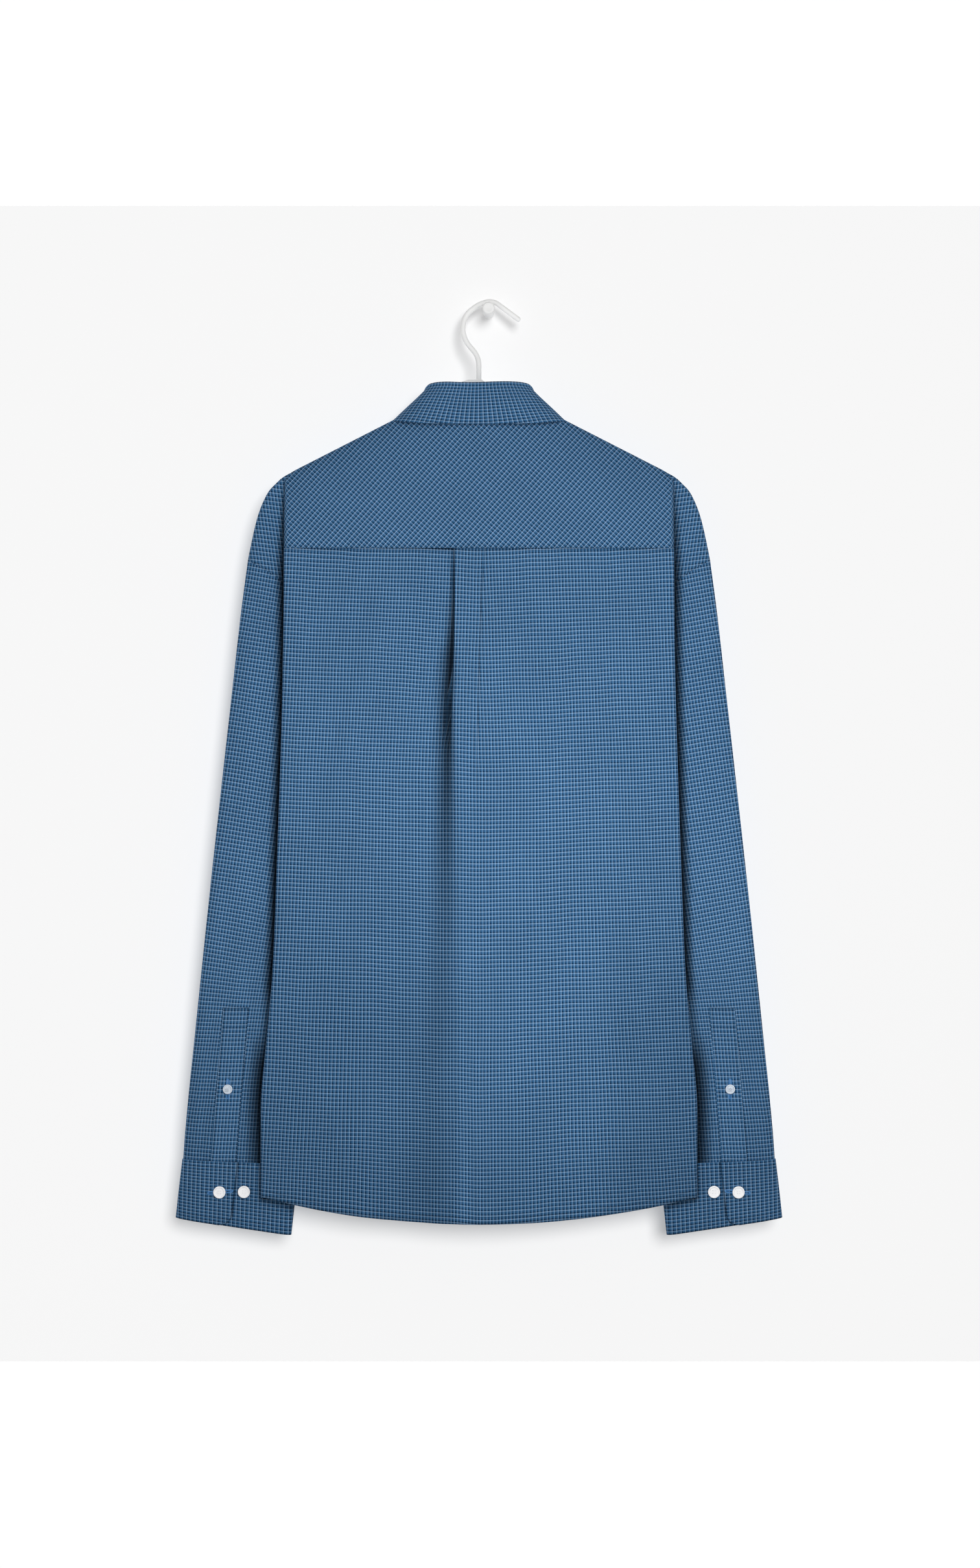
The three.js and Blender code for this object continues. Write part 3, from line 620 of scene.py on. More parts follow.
# First column of each panel beyond its fold, counted from the centre, and how far the panel's warp
# leans outwards as it runs down.
LEFT_PANEL, RIGHT_PANEL = 12, 5
LEFT_LEAN, RIGHT_LEAN = 0.046, 0.033
PLEAT_OPENED_Z = -440
BACK_ROWS = 128
FLAT_STEPS = 36
EDGE_ANGLES = [math.pi * k / 8 for k in range(1, 9)]
EDGE_TURNS = [0.06, 0.16, 0.3, 0.45, 0.6, 0.74, 0.86, 0.94, 1.0]


def fan_out(rows, spots, columns, lean):
    """Leans a panel's warp outwards as it runs down.

    Down to where the pleat has opened, the panel's warp slides past the fold. Below, it joins on to the
    box's, and the cloth that the pleat lets out is taken up across the panel.
    """
    first = columns[0]
    opened = next(i for i, row in enumerate(rows) if row[first].z < PLEAT_OPENED_Z)
    wanted = []
    for row, spot in zip(rows, spots):
        wanted.append(row[first].x - SHIRT_X + lean * (YOKE_SEAM_Z - row[first].z) - spot[first])
    for i, (row, spot) in enumerate(zip(rows, spots)):
        start = row[first].x
        below = lean * (rows[opened][first].z - row[first].z)
        for j in columns:
            if i <= opened:
                spot[j] += wanted[i] - wanted[opened]
            else:
                spot[j] += below * ease(abs(row[j].x - start) / 170)


def back_panel():
    """The back below the yoke, from one side seam round the folded edges to the other."""
    rows, spots, shut = [], [], []
    for i in range(BACK_ROWS + 1):
        share = i / BACK_ROWS
        top = YOKE_SEAM_Z - 0.2

        def z_at(x, turned=0.0):
            return mix(top, hem_z(HEM_BACK_Z, x, turned), share)

        def half(side):
            """Points from the pleat outwards, each with how far it is shut from the light, painted as shade.
            """
            points = []
            stations = len(LEFT_FOLD if side < 0 else RIGHT_FOLD)
            z0 = z_at(side * 20)
            for k in reversed(range(stations)):
                x, dip = pleat_place(side, k, z0)
                z = z_at(x)
                points.append((at(x, -BODY_HALF - back_swell(x, z) + dip, z), back_shade(x, z)))
            start, dip = pleat_place(side, 0, z0)
            z_edge = z_at(side * 200)
            end = side * edge_place(0, 0, z_edge)[0]
            for k in range(1, FLAT_STEPS + 1):
                x = mix(start, end, k / FLAT_STEPS)
                z = z_at(x)
                settle = dip * (1 - ease(abs(x - start) / 45))
                points.append((at(x, -BODY_HALF - back_swell(x, z) + settle, z), back_shade(x, z)))
            last, flat_shade = points[-1][0].y - at(0, -BODY_HALF, 0).y, points[-1][1]
            # Painted shade deepens round the folded edge, and lies on the cloth turned in behind it.
            for angle in EDGE_ANGLES:
                out, depth = edge_place(angle, 0, z_edge)
                dark = max(flat_shade, ease((angle - 1.6) / 1.4))
                points.append((at(side * out, -depth + last * (1 - angle / math.pi), z_edge), dark))
            for turned in EDGE_TURNS:
                z = z_at(side * 200, turned)
                out, depth = edge_place(math.pi, turned, z)
                points.append((at(side * out, -depth, z), 0.6 * (1 - turned)))
            return points

        left, right = half(-1), half(1)
        middle = mix(left[0][0].x, right[0][0].x, 0.5) - SHIRT_X
        z = z_at(middle)
        line = left[::-1] + [(at(middle, -BODY_HALF - back_swell(middle, z), z), 0)] + right
        centre = len(left)
        spot = [0.0] * len(line)
        for step in (-1, 1):
            k = centre
            while 0 <= k + step < len(line):
                run = (line[k + step][0] - line[k][0]).to_2d().length
                k += step
                spot[k] = spot[k - step] + step * run
        rows.append([point for point, _ in line])
        shut.append([dark for _, dark in line])
        spots.append(spot)
    fan_out(rows, spots, range(centre - LEFT_PANEL, -1, -1), LEFT_LEAN)
    fan_out(rows, spots, range(centre + RIGHT_PANEL, len(rows[0])), -RIGHT_LEAN)
    return cloth_sheet("back_panel_cloth", [
        [(p, (warp_line(spot, p), weft_line(p.x - SHIRT_X, p.z)), p.z - hem.z - HEM_STITCH, dark)
         for p, spot, dark, hem in zip(*line, rows[-1])]
        for line in zip(rows, spots, shut)])


def weft_line(x, z):
    """Height of a place along the warp: the cloth sags a little to the middle, and more at the hem."""
    box = math.exp(-(((x + 8) / 20) ** 2))
    slope = mix(0.042, 0.1 if x < 0 else 0.075, ease((-770 - z) / 80))
    sag = slope * (math.hypot(x, 30) - 30)
    wander = 1.4 * noise.noise(Vector((x / 70, z / 110, 4.2)))
    wander += 0.5 * noise.noise(Vector((x / 24, z / 60, 8.3)))
    return z + 0.045 * (x + 8) * box - sag + wander


def warp_line(spot, p):
    """Place of a warp yarn across the cloth, which wanders a little as it runs down."""
    return spot + 0.8 * noise.noise(Vector(((p.x - SHIRT_X) / 38, p.z / 85, 2.6)))


# Yoke columns: place across, and the angle past the ridge where the column ends.
FRONT_SEAM_ANGLE = -math.acos(1 - YOKE_FRONT_DROP / RIDGE_FALL)
YOKE_ENDS = [(x, math.acos(1 - (ridge_z(x) - NECK_BACK_Z) / RIDGE_FALL)) for x in (0, 20, 40, 56)] + [
    (66, math.radians(19)), (69.5, math.radians(2)), (72, math.radians(-14)), (74.2, math.radians(-32)),
    (77, FRONT_SEAM_ANGLE), (190, FRONT_SEAM_ANGLE),
]
YOKE_PLACES = list(range(0, 40, 5)) + [
    40, 44, 48, 52, 56, 59, 62, 64.5, 66.5, 68.5, 70.2, 72, 74, 76, 79] + [83 + 4.1 * k for k in range(23)]
YOKE_FLAT, YOKE_CLIMB, YOKE_OVER = 10, 26, 10
BIAS = math.radians(41)


def yoke():
    """Bias-cut yoke: up the back, over the hanger, and down to the front seam."""
    rows = []
    low, high = math.sin(BIAS), math.cos(BIAS)
    ridge_row = YOKE_FLAT + YOKE_CLIMB
    spare = len(EDGE_ANGLES) + 3
    width = 2 * (len(YOKE_PLACES) + spare + 1) - 1
    for i in range(ridge_row + YOKE_OVER + 1):

        def place(x):
            top = ridge_z(x) - RIDGE_FALL
            if i <= YOKE_FLAT:
                z, depth = mix(YOKE_SEAM_Z, top, i / YOKE_FLAT), -BODY_HALF
                run = z
            else:
                end = curve(YOKE_ENDS, x)
                stop = max(end, 0)
                if i <= ridge_row:
                    angle = mix(math.pi / 2, stop, (i - YOKE_FLAT) / YOKE_CLIMB)
                else:
                    angle = mix(stop, end, (i - ridge_row) / YOKE_OVER)
                z = top + RIDGE_FALL * math.cos(angle)
                depth = -BODY_HALF * math.sin(angle)
                run = z if angle >= 0 else 2 * ridge_z(x) - z
            swell = 0.35 * noise.noise(Vector((x / 40, z / 40, 7.7))) * ease(-depth / 6)
            return z, depth - 0.5 * ease((-205 - z) / 20) - swell, run

        for side in (-1, 1):
            points = []
            for x in YOKE_PLACES:
                z, depth, run = place(x)
                points.append((at(side * x, depth, z), side * x, run))
            z, depth, run = place(180)
            z_fold = mix(YOKE_SEAM_Z, -160.5, clamp(i / ridge_row))
            if i <= ridge_row:
                out, deep = edge_place(0, 0, z_fold)
                deep += 0.5 * ease((-205 - z) / 20)
                points.append((at(side * out, -deep, z_fold), side * out, z_fold))
                for angle in EDGE_ANGLES:
                    out, deep = edge_place(angle, 0, z_fold)
                    points.append((at(side * out, -deep, z_fold), side * (out + angle * 3), z_fold))
                for turned in (0.3, 0.6, 1.0):
                    out, deep = edge_place(math.pi, turned, z_fold)
                    points.append((at(side * out, -deep, z_fold), side * (out + 10), z_fold))
            else:
                points += [(at(side * YOKE_HALF, depth, z - 2.0), side * YOKE_HALF, run)] * (spare + 1)
            if side < 0:
                left = points[1:][::-1]
        row = []
        for j, (p, x, run) in enumerate(left + points):
            stitch = abs(p.z - YOKE_SEAM_Z - 2.0) if i <= YOKE_FLAT else NO_STITCH
            # Painted shade darkens the yoke towards its folded ends.
            shut = ease((spare - min(j, width - 1 - j)) / 6)
            row.append((p, (x * low + run * high, run * low - x * high), min(stitch, NO_STITCH), shut))
        rows.append(row)

    def has(i, j):
        return i < ridge_row or spare <= j < width - 1 - spare

    return cloth_sheet("yoke_cloth", rows, has=has, material=BIAS_SHIRTING)


# Sleeves ------------------------------------------------------------------------------------------


def tube_depth(share):
    return math.sqrt(max(1 - (2 * share - 1) ** 10, 0))


class Ring:
    """One ring of a flattened tube, met at a height of its outer edge."""

    def __init__(self, table, z):
        self.z = z
        self.outer, self.inner, self.fall, self.half = (curve(by_height(table, k), z) for k in (1, 2, 3, 4))

    def place(self, share):
        """Distance out from the centre line, height, and half depth, at a share of the way inwards."""
        drop = self.fall * (0.39 * share + 0.61 * share * share)
        return mix(self.outer, self.inner, share), self.z - drop, self.half * tube_depth(share)


def shut_beside_fold(out, z):
    """How far the body's folded edge keeps the light from a place on the sleeve beside it, painted as
    shade; the sleeve also takes painted shade lower down.
    """
    strength = curve([
        (-850, 0.2), (-835, 0.8), (-720, 0.95), (-685, 0.45), (-660, 0.6), (-640, 1), (-258, 1),
        (-240, 0.93), (-215, 0.72), (-190, 0.5), (-166, 0.2)], z)
    width = curve([(-800, 16), (-700, 15), (-682, 9), (-640, 10), (-256, 9.5), (-200, 6), (-168, 4)], z)
    gap = clamp((out - curve(FOLD, z)) / width)
    return 1 - (1 - strength * (1 - gap**1.7)) * (1 - 0.16 * ease((-560 - z) / 240))


# Creases of a sleeve's back: height, top, place at the top, bottom, place at the bottom, half width.
SLEEVE_FOLDS = [
    (0.8, -300, 214, -520, 226, 13), (-0.7, -420, 232, -640, 244, 12), (0.9, -560, 222, -760, 244, 12),
    (-1.0, -640, 252, -800, 262, 10), (0.9, -690, 262, -806, 270, 8), (-0.8, -600, 212, -740, 222, 9),
    (0.8, -748, 216, -806, 212, 6), (-0.9, -756, 206, -806, 203, 5), (0.7, -770, 256, -806, 258, 4),
    (-0.7, -776, 266, -806, 267, 4), (0.6, -764, 224, -806, 225, 4),
]


def sleeve_relief(out, z, side):
    total = 0.7 * noise.noise(Vector((out / 28, z / 60, 3.1 * side)))
    for height, top, x0, bottom, x1, wide in SLEEVE_FOLDS:
        if bottom - 14 < z < top:
            run = (top - z) / (top - bottom)
            reach = abs(out - mix(x0, x1, run) - 2 * side) / wide
            if reach < 1:
                last = 1 if bottom == -806 else ease((1 - run) / 0.3)
                total += height * ease(run / 0.35) * last * (0.5 + 0.5 * math.cos(math.pi * reach))
    return total


# Grain of a sleeve: height, fall of the weft inwards, place of one warp line, how closely the warp lies,
# and height along the warp.
SLEEVE_GRAIN = [
    (-239.5, 0.22, 217.2, 1.08, -239.5), (-290, 0.21, 225.2, 1.07, -290), (-336, 0.176, 231.8, 1, -336),
    (-507, 0.176, 256.5, 1, -507), (-568, 0.19, 266.1, 1.03, -568), (-600, 0.17, 271.2, 1.06, -600),
    (-640, 0.1, 277.5, 1.10, -641.6), (-677, 0.035, 282.7, 1.13, -681), (-726, 0.02, 289.1, 1.13, -733.6),
    (-750, 0.03, 291.8, 1.11, -759.3), (-775, 0.05, 294.3, 1.08, -785), (-816, 0.05, 297.3, 1.07, -827.4),
]
WEFT_FALL, WARP_LINE, WARP_CLOSE, WARP_HEIGHT = (by_height(SLEEVE_GRAIN, k) for k in (1, 2, 3, 4))


def sleeve_map(out, z, side, front):
    """Cloth map of a sleeve: the warp leans outwards as it runs down, and the weft drops inwards."""
    middle = mix(200, 242, (-240 - z) / 566)

    def inwards(place):
        return curve(WARP_LINE, z) - middle + (middle - place) * curve(WARP_CLOSE, z)

    across = inwards(out)
    if front:
        across = 2 * inwards(curve(by_height(SLEEVE, 1), z)) - across
    wander = 0.8 * noise.noise(Vector((out / 40, z / 70, 6.0 * side)))
    return -side * across, curve(WARP_HEIGHT, z) + curve(WEFT_FALL, z) * (middle - out) + wander


def shoulder_map(out, z, side, front):
    inwards = 203 - out
    lean = math.tan(math.radians(7.5))
    across = inwards + lean * (z + 200)
    return (-side * (-across if front else across), z + lean * inwards)


TUBE_SHARES = [0, 0.004, 0.012, 0.025, 0.045] + [0.07 + 0.022 * k for k in range(41)] + [0.975, 0.992, 1]


def tube(name, table, heights, shares, side, relief, flat_map, stitch):
    """A flattened tube from a table of rings, open along its inner edge, where its seam is."""
    rows = []
    for i, z_outer in enumerate(heights):
        ring = Ring(table, z_outer)
        row = []
        for front in (True, False):
            for share in (reversed(shares) if front else shares[1:]):
                out, z, half = ring.place(share)
                if front:
                    depth = half
                else:
                    rise = relief(out, z, side) * clamp(half / ring.half) ** 2 * ease((z_outer + 809) / 5)
                    groove = 2.2 * ease(1 - abs(out - curve(FOLD, z) + 1) / 9) if z < -200 else 0
                    depth = -half - rise + groove
                # The back layer takes painted shade beside the body's fold.
                shut = 0 if front else shut_beside_fold(out, z)
                row.append((at(side * out, depth, z), flat_map(out, z, side, front), stitch(i), shut))
        rows.append(row)
    return cloth_sheet(name, rows)


def sleeve(hand, side):
    heights = steps(-239.3, -804.5, 112) + [-806, -807.5, -810]
    return tube(f"sleeve_{hand}_cloth", SLEEVE, heights, TUBE_SHARES, side, sleeve_relief, sleeve_map,
                lambda i: NO_STITCH)


def shoulder(hand, side):
    top, low, count = -155.5, -240.6, 31
    shares = [s for s in TUBE_SHARES if s < 0.96]

    def relief(out, z, side):
        return 0.4 * noise.noise(Vector((out / 25, z / 40, 9.0 * side))) + 0.55

    return tube(
        f"shoulder_{hand}_cloth", SHOULDER, steps(top, low, count), shares, side, relief, shoulder_map,
        lambda i: (count - i) * (top - low) / count - 1.6)


def sleeve_back(out, z, side):
    """Depth of the sleeve's back layer where the gauntlet lies."""
    return -6.8 - sleeve_relief(out, z, side)


def gauntlet(hand, side):
    """The strip over the sleeve's slit, with a square top and stitching down both sides."""
    rows = []
    half = GAUNTLET_WIDTH / 2
    for z in steps(GAUNTLET_TOP_Z, -808.4, 40):
        row = []
        for place in [-1, -0.96, -0.88] + [-0.76 + 0.095 * k for k in range(17)] + [0.88, 0.96, 1]:
            out = curve(GAUNTLET, z) + place * half
            lift = 0.95 - 0.55 * ease((abs(place) - 0.86) / 0.14) * (0.4 if z > -664 else 1)
            down = GAUNTLET_TOP_Z - z
            stitch = min(abs(half - abs(place) * half - 1.8), abs(down - 1.8), abs(down - 18))
            # Painted shade: more along the strip's sides and top edge, a little all over.
            row.append((at(side * out, sleeve_back(out, z, side) - lift, z),
                        (side * (place * half + 1.1), z + 1.3), stitch,
                        0.4 if z == GAUNTLET_TOP_Z or abs(place) == 1 else 0.05))
        rows.append(row)
    return cloth_sheet(f"gauntlet_{hand}_cloth", rows)


LAP_END, LAP_START = 0.476, 0.27
CUFF_WIDTH, CUFF_DEPTH = 108, 58


def cuff(hand, side):
    """The cuff's band: from its lapping end on the back, out round the sleeve, and in beneath again."""
    lapping = [LAP_END, LAP_END - 0.006] + steps(LAP_END, 0.05, 22)[1:] + [0.035, 0.02, 0.01, 0.004]
    front = [0, 0.004, 0.012, 0.03] + [0.06 + 0.044 * k for k in range(21)] + [0.965, 0.985, 0.995]
    under = [1, 0.995, 0.985, 0.965] + steps(0.94, LAP_START, 32)
    stations = [(share, sign, laps) for shares, sign, laps in (
        (lapping, -1, True), (front, 1, False), (under, -1, False)) for share in shares]
    lengths = [0.0]
    for (a, _, _), (b, _, _) in zip(stations, stations[1:]):
        rolled = 1.2 if min(a, b) < 0.01 or max(a, b) > 0.99 else 0
        lengths.append(lengths[-1] + abs(b - a) * CUFF_WIDTH + rolled)
    rows = []
    for down in [i / 20 for i in range(21)]:
        spot = down * (len(CUFF) - 1)
        k = min(int(spot), len(CUFF) - 2)
        edge = [mix(a, b, spot - k) for a, b in zip(CUFF[k], CUFF[k + 1])]
        row = []
        corner = LAP_END - 0.1 * (1 - math.sqrt(1 - clamp((down - 0.8) / 0.2) ** 2))
        for (station, sign, laps), length in zip(stations, lengths):
            share = station
            if laps and station > 0.05:
                share = mix(0.05, corner, (station - 0.05) / (LAP_END - 0.05))
            length += (station - share) * CUFF_WIDTH
            out, z = mix(edge[0], edge[2], share), mix(edge[1], edge[3], share)
            lift = 2.0 * ease((share - 0.04) / 0.16) if laps else 0
            fullness = 0.9 + 0.1 * ease(down / 0.12) - 0.1 * ease((down - 0.9) / 0.1)
            depth = CUFF_HALF * tube_depth(share) * fullness + lift
            depth += 0.25 * noise.noise(Vector((length / 22, down * 3, side * 2.0)))
            # Painted shade: along the lapping end's edge, over the layer towards the wall, and from
            # cuff_shade.
            edge_on = 0.5 if station == LAP_END else 0
            shut = 0.18 if sign > 0 else max(edge_on, cuff_shade(out, z, laps, share, corner))
            from_edges = min(length, lengths[-1] - length), down * CUFF_DEPTH, (1 - down) * CUFF_DEPTH
            row.append((at(side * out, sign * depth, z),
                        (-down * CUFF_DEPTH, side * (length + down * 5) + 0.7),
                        min(abs(gap - EDGE_STITCH) for gap in from_edges), shut))
        rows.append(row)
    return cloth_sheet(f"cuff_{hand}_cloth", rows, BAND)


def cuff_shade(out, z, laps, share, corner):
    """Painted shade where the body's corner hangs over the cuff, and where the lapping end covers the
    other; never less than 0.18 anywhere.
    """
    body = curve(FOLD, z)
    under_body = ease((body + 5 - out) / 7) * ease((z + 850) / 12)
    under_lap = 0 if laps else ease((corner + 0.02 - share) / 0.02)
    return max(0.9 * under_body, 0.6 * under_lap, 0.18)


# Collar -------------------------------------------------------------------------------------------


def collar_point(line, s):
    """A place on one line of the collar; s runs from -10 at the left front, 0 at the back, to 10."""
    def control(k):
        k = max(-10, min(10, k))
        x, depth, z = COLLAR[abs(k)][line]
        return Vector((math.copysign(x, k) if k else 0, depth, z))
    k = min(int(math.floor(s)), 9)
    t = s - k
    p0, p1, p2, p3 = (control(k + n) for n in (-1, 0, 1, 2))
    square, cube = 2 * p0 - 5 * p1 + 4 * p2 - p3, 3 * p1 - p0 - 3 * p2 + p3
    return 0.5 * (2 * p1 + (p2 - p0) * t + square * t * t + cube * t**3)


def collar_inwards(line, s):
    along = collar_point(line, min(s + 0.05, 10)) - collar_point(line, max(s - 0.05, -10))
    return Vector((-along.y, along.x, 0)).normalized()


# The leaf's roll over the fold, from inside out: distance inwards, and distance below the fold.
LEAF_ROLL = [
    (2.4, 7), (2.45, 5.2), (2.35, 3.6), (2.0, 2.0), (1.3, 0.75), (0.4, 0.1), (-0.5, 0.15), (-1.2, 0.8),
    (-1.65, 1.9), (-1.9, 3.2),
]
LEAF_FALL = 16
COLLAR_STEPS = [-10 + 20 * k / 150 for k in range(151)]


def collar_lengths(line):
    """How far along one line of the collar each step lies."""
    lengths = [0.0]
    for a, b in zip(COLLAR_STEPS, COLLAR_STEPS[1:]):
        lengths.append(lengths[-1] + (collar_point(line, b) - collar_point(line, a)).length)
    return lengths


def collar_leaf():
    rows = []
    lengths = collar_lengths(2)
    middle = lengths[len(lengths) // 2]
    for i in range(len(LEAF_ROLL) + LEAF_FALL):
        row = []
        for s, length in zip(COLLAR_STEPS, lengths):
            fold, inwards = collar_point(1, s), collar_inwards(1, s)
            dip = 0.9 * math.exp(-(((s + 0.6) / 1.2) ** 2))
            roll = [fold + inwards * into + Vector((0, 0, -below - dip)) for into, below in LEAF_ROLL]
            if i < len(LEAF_ROLL):
                point = roll[i]
                down = LEAF_ROLL[i][1] * (-1 if LEAF_ROLL[i][0] > 0.5 else 1)
            else:
                t = (i - len(LEAF_ROLL) + 1) / LEAF_FALL
                edge = collar_point(2, s)
                point = roll[-1].lerp(edge, t)
                belly = 1.1 * math.sin(math.pi * t) ** 1.3
                point -= inwards * belly
                down = 3.2 + t * (edge - roll[-1]).length
            gap = (roll[-1] - collar_point(2, s)).length - down + 3.2
            row.append((at(*point), (1.4 - down, 0.87 * (length - middle)), abs(gap - EDGE_STITCH), 0))
        rows.append(row)
    return cloth_sheet("collar_leaf_cloth", rows, COLLAR_CLOTH)


def collar_stand():
    rows = []
    lengths = collar_lengths(0)
    past = (12, 8, 4)
    lapped = [-reach for reach in past] + lengths + [lengths[-1] + reach for reach in past[::-1]]
    for i in range(9):
        row = []
        for s in COLLAR_STEPS:
            top = collar_point(1, s) + collar_inwards(1, s) * 2.6 + Vector((0, 0, -7.4))
            row.append(collar_point(0, s).lerp(top, i / 8))
        left, right = [
            [row[end] + Vector((step * reach, depth * min(reach / 4, 1), 0.2)) for reach in past]
            for end, step, depth in ((0, 1, 0.9), (-1, -1, -1.2))]
        row = left + row + right[::-1]
        rows.append([(at(*point), (i * 3.4, along), NO_STITCH, 0) for point, along in zip(row, lapped)])
    return cloth_sheet("collar_stand_cloth", rows, COLLAR_CLOTH)


# Fronts -------------------------------------------------------------------------------------------


def front_top_z(x):
    corner = ridge_z(NECK_CORNER) - YOKE_FRONT_DROP - 0.4
    if x >= NECK_CORNER:
        return ridge_z(x) - YOKE_FRONT_DROP - 0.4
    return mix(NECK_FRONT_Z, corner, (max(x, 0) / NECK_CORNER) ** 2)


FRONT_END_TOPS = [(0, -196), (1, -204), (2, -214), (3, -222), (4, -224)]


def front(hand, side):
    """One front: the lapped edge with its band, the flat panel, and the folded side edge."""
    rows = []
    places = [-FRONT_LAP, -16, -14, -12] + list(range(-9, 21, 3)) + [21 + 4.6 * k for k in range(34)]
    fold_hem = hem_z(HEM_FRONT_Z, HEM_HALF)
    marks = [(0, 0.0, 0.0)] + [(a, 0.0, 2 * a / math.pi) for a in EDGE_ANGLES] + [
        (math.pi, t, 2 + 2 * t) for t in EDGE_TURNS]
    for share in [i / 96 for i in range(97)]:
        row = []
        for x in places:
            z = mix(front_top_z(x), hem_z(HEM_FRONT_Z, x), share)
            spread = curve(FOLD, z) / YOKE_HALF
            lap = 2.1 * clamp((40 - x) / 20) if side > 0 else 0
            swell = 0.8 * noise.noise(Vector((x / 40, z / 90, 11 * side)))
            swell *= ease((x - 20) / 30) * ease((-180 - z) / 40)
            band = 0.35 if side < 0 and x < 17.5 else 0
            out = x * (spread if x > 0 else 1)
            off = min(abs(x + FRONT_LAP - EDGE_STITCH), abs(x - 12)) if x < 20 else NO_STITCH
            row.append((at(side * out, body_half(x, z) - lap + band - swell, z), (side * out, z), off, 0))
        for angle, turned, mark in marks:
            z = mix(curve(FRONT_END_TOPS, mark), fold_hem + SIDE_RISE * turned, share)
            out, depth = edge_place(angle, turned, z, 3 * (1 - turned))
            across = out if angle < 1.5 else 2 * curve(FOLD, z) - out
            row.append((at(side * out, depth, z), (side * across, z), NO_STITCH, 0))
        rows.append(row)
    return cloth_sheet(f"front_{hand}_cloth", [
        [(p, spot, min(off, abs(p.z - hem[0].z - HEM_STITCH)), shut)
         for (p, spot, off, shut), hem in zip(row, rows[-1])] for row in rows])


# Buttons, hook and peg ----------------------------------------------------------------------------


def resin(name, shown, clouded, roughness):
    """Smooth moulded plastic, very faintly clouded."""
    plastic = Surface(name)
    cloud = plastic.noise(plastic.node("TexCoord").outputs["Object"], 140.0, 3.0)
    plastic.set(Base_Color=plastic.ramp(cloud, [(0.3, clouded), (0.7, shown)]), Roughness=roughness,
                Specular_IOR_Level=0.4)
    return plastic.material


WHITE_RESIN = resin("white_button", srgb(250, 250, 251), srgb(243, 243, 245), 0.35)
GREY_RESIN = resin("grey_button", srgb(210, 219, 228), srgb(197, 207, 219), 0.35)
WHITE_PLASTIC = resin("white_plastic", srgb(250, 250, 249), srgb(246, 246, 245), 0.45)
WHITE_ENAMEL = resin("white_peg", srgb(246, 246, 245), srgb(240, 240, 239), 0.3)
THREAD = Surface("blue_thread")
turns = THREAD.math("SINE", THREAD.math("MULTIPLY", THREAD.attribute("along"), 2 * math.pi / 0.5))
THREAD.set(Base_Color=THREAD.ramp(THREAD.math("MULTIPLY_ADD", turns, 0.5, 0.5),
                                  [(0.0, srgb(40, 98, 160)), (1.0, srgb(90, 152, 212))]), Roughness=0.8)


def begin_piece():
    bpy.ops.object.select_all(action="DESELECT")


def settle_piece(name, material, angle=35):
    """Leaves edit mode with the piece's place in its mesh, and names and shades it."""
    if bpy.context.object.mode != "OBJECT":
        bpy.ops.object.mode_set(mode="OBJECT")
    piece = bpy.context.object
    bpy.ops.object.transform_apply(location=True, rotation=True, scale=True)
    bpy.ops.object.shade_smooth_by_angle(angle=math.radians(angle))
    piece.name = piece.data.name = name
    piece.data.materials.clear()
    piece.data.materials.append(material)
    return piece


def select_only(kind, fits):
    """In edit mode, selects only the edges, or only the faces, that fit."""
    shaping = bmesh.from_edit_mesh(bpy.context.object.data)
    bpy.context.tool_settings.mesh_select_mode = (False, kind == "edges", kind == "faces")
    for part in (shaping.verts, shaping.edges, shaping.faces):
        for item in part:
            item.select = False
    for item in getattr(shaping, kind):
        if fits(item):
            item.select_set(True)
    bmesh.update_edit_mesh(bpy.context.object.data)


def select_faces(rule):
    """Selects the faces whose centre (mm) and normal fit the rule."""
    select_only("faces", lambda face: rule(face.calc_center_median() / MM, face.normal))


def select_edges(rule):
    """Selects the edges whose two ends (mm) both fit the rule."""
    select_only("edges", lambda edge: all(rule(vertex.co / MM) for vertex in edge.verts))


def join_pieces(pieces):
    """Joins pieces into the first of them."""
    begin_piece()
    for piece in pieces:
        piece.select_set(True)
    bpy.context.view_layer.objects.active = pieces[0]
    bpy.ops.object.join()
    return pieces[0]


def from_axis(point):
    return math.hypot(point.x, point.z)


def upright_disc(radius, depth, vertices=48):
    """A disc in edit mode whose back lies on the wall plane and whose face looks along -Y."""
    begin_piece()
    bpy.ops.mesh.primitive_cylinder_add(
        vertices=vertices, radius=radius * MM, depth=depth * MM, location=(0, -depth / 2 * MM, 0),
        rotation=(math.pi / 2, 0, 0))
    bpy.ops.object.transform_apply(location=True, rotation=True, scale=True)
    bpy.ops.object.mode_set(mode="EDIT")


def draw_out(way):
    """Extrudes what is selected by a way in millimetres."""
    bpy.ops.mesh.extrude_region_move(TRANSFORM_OT_translate={"value": way * MM})


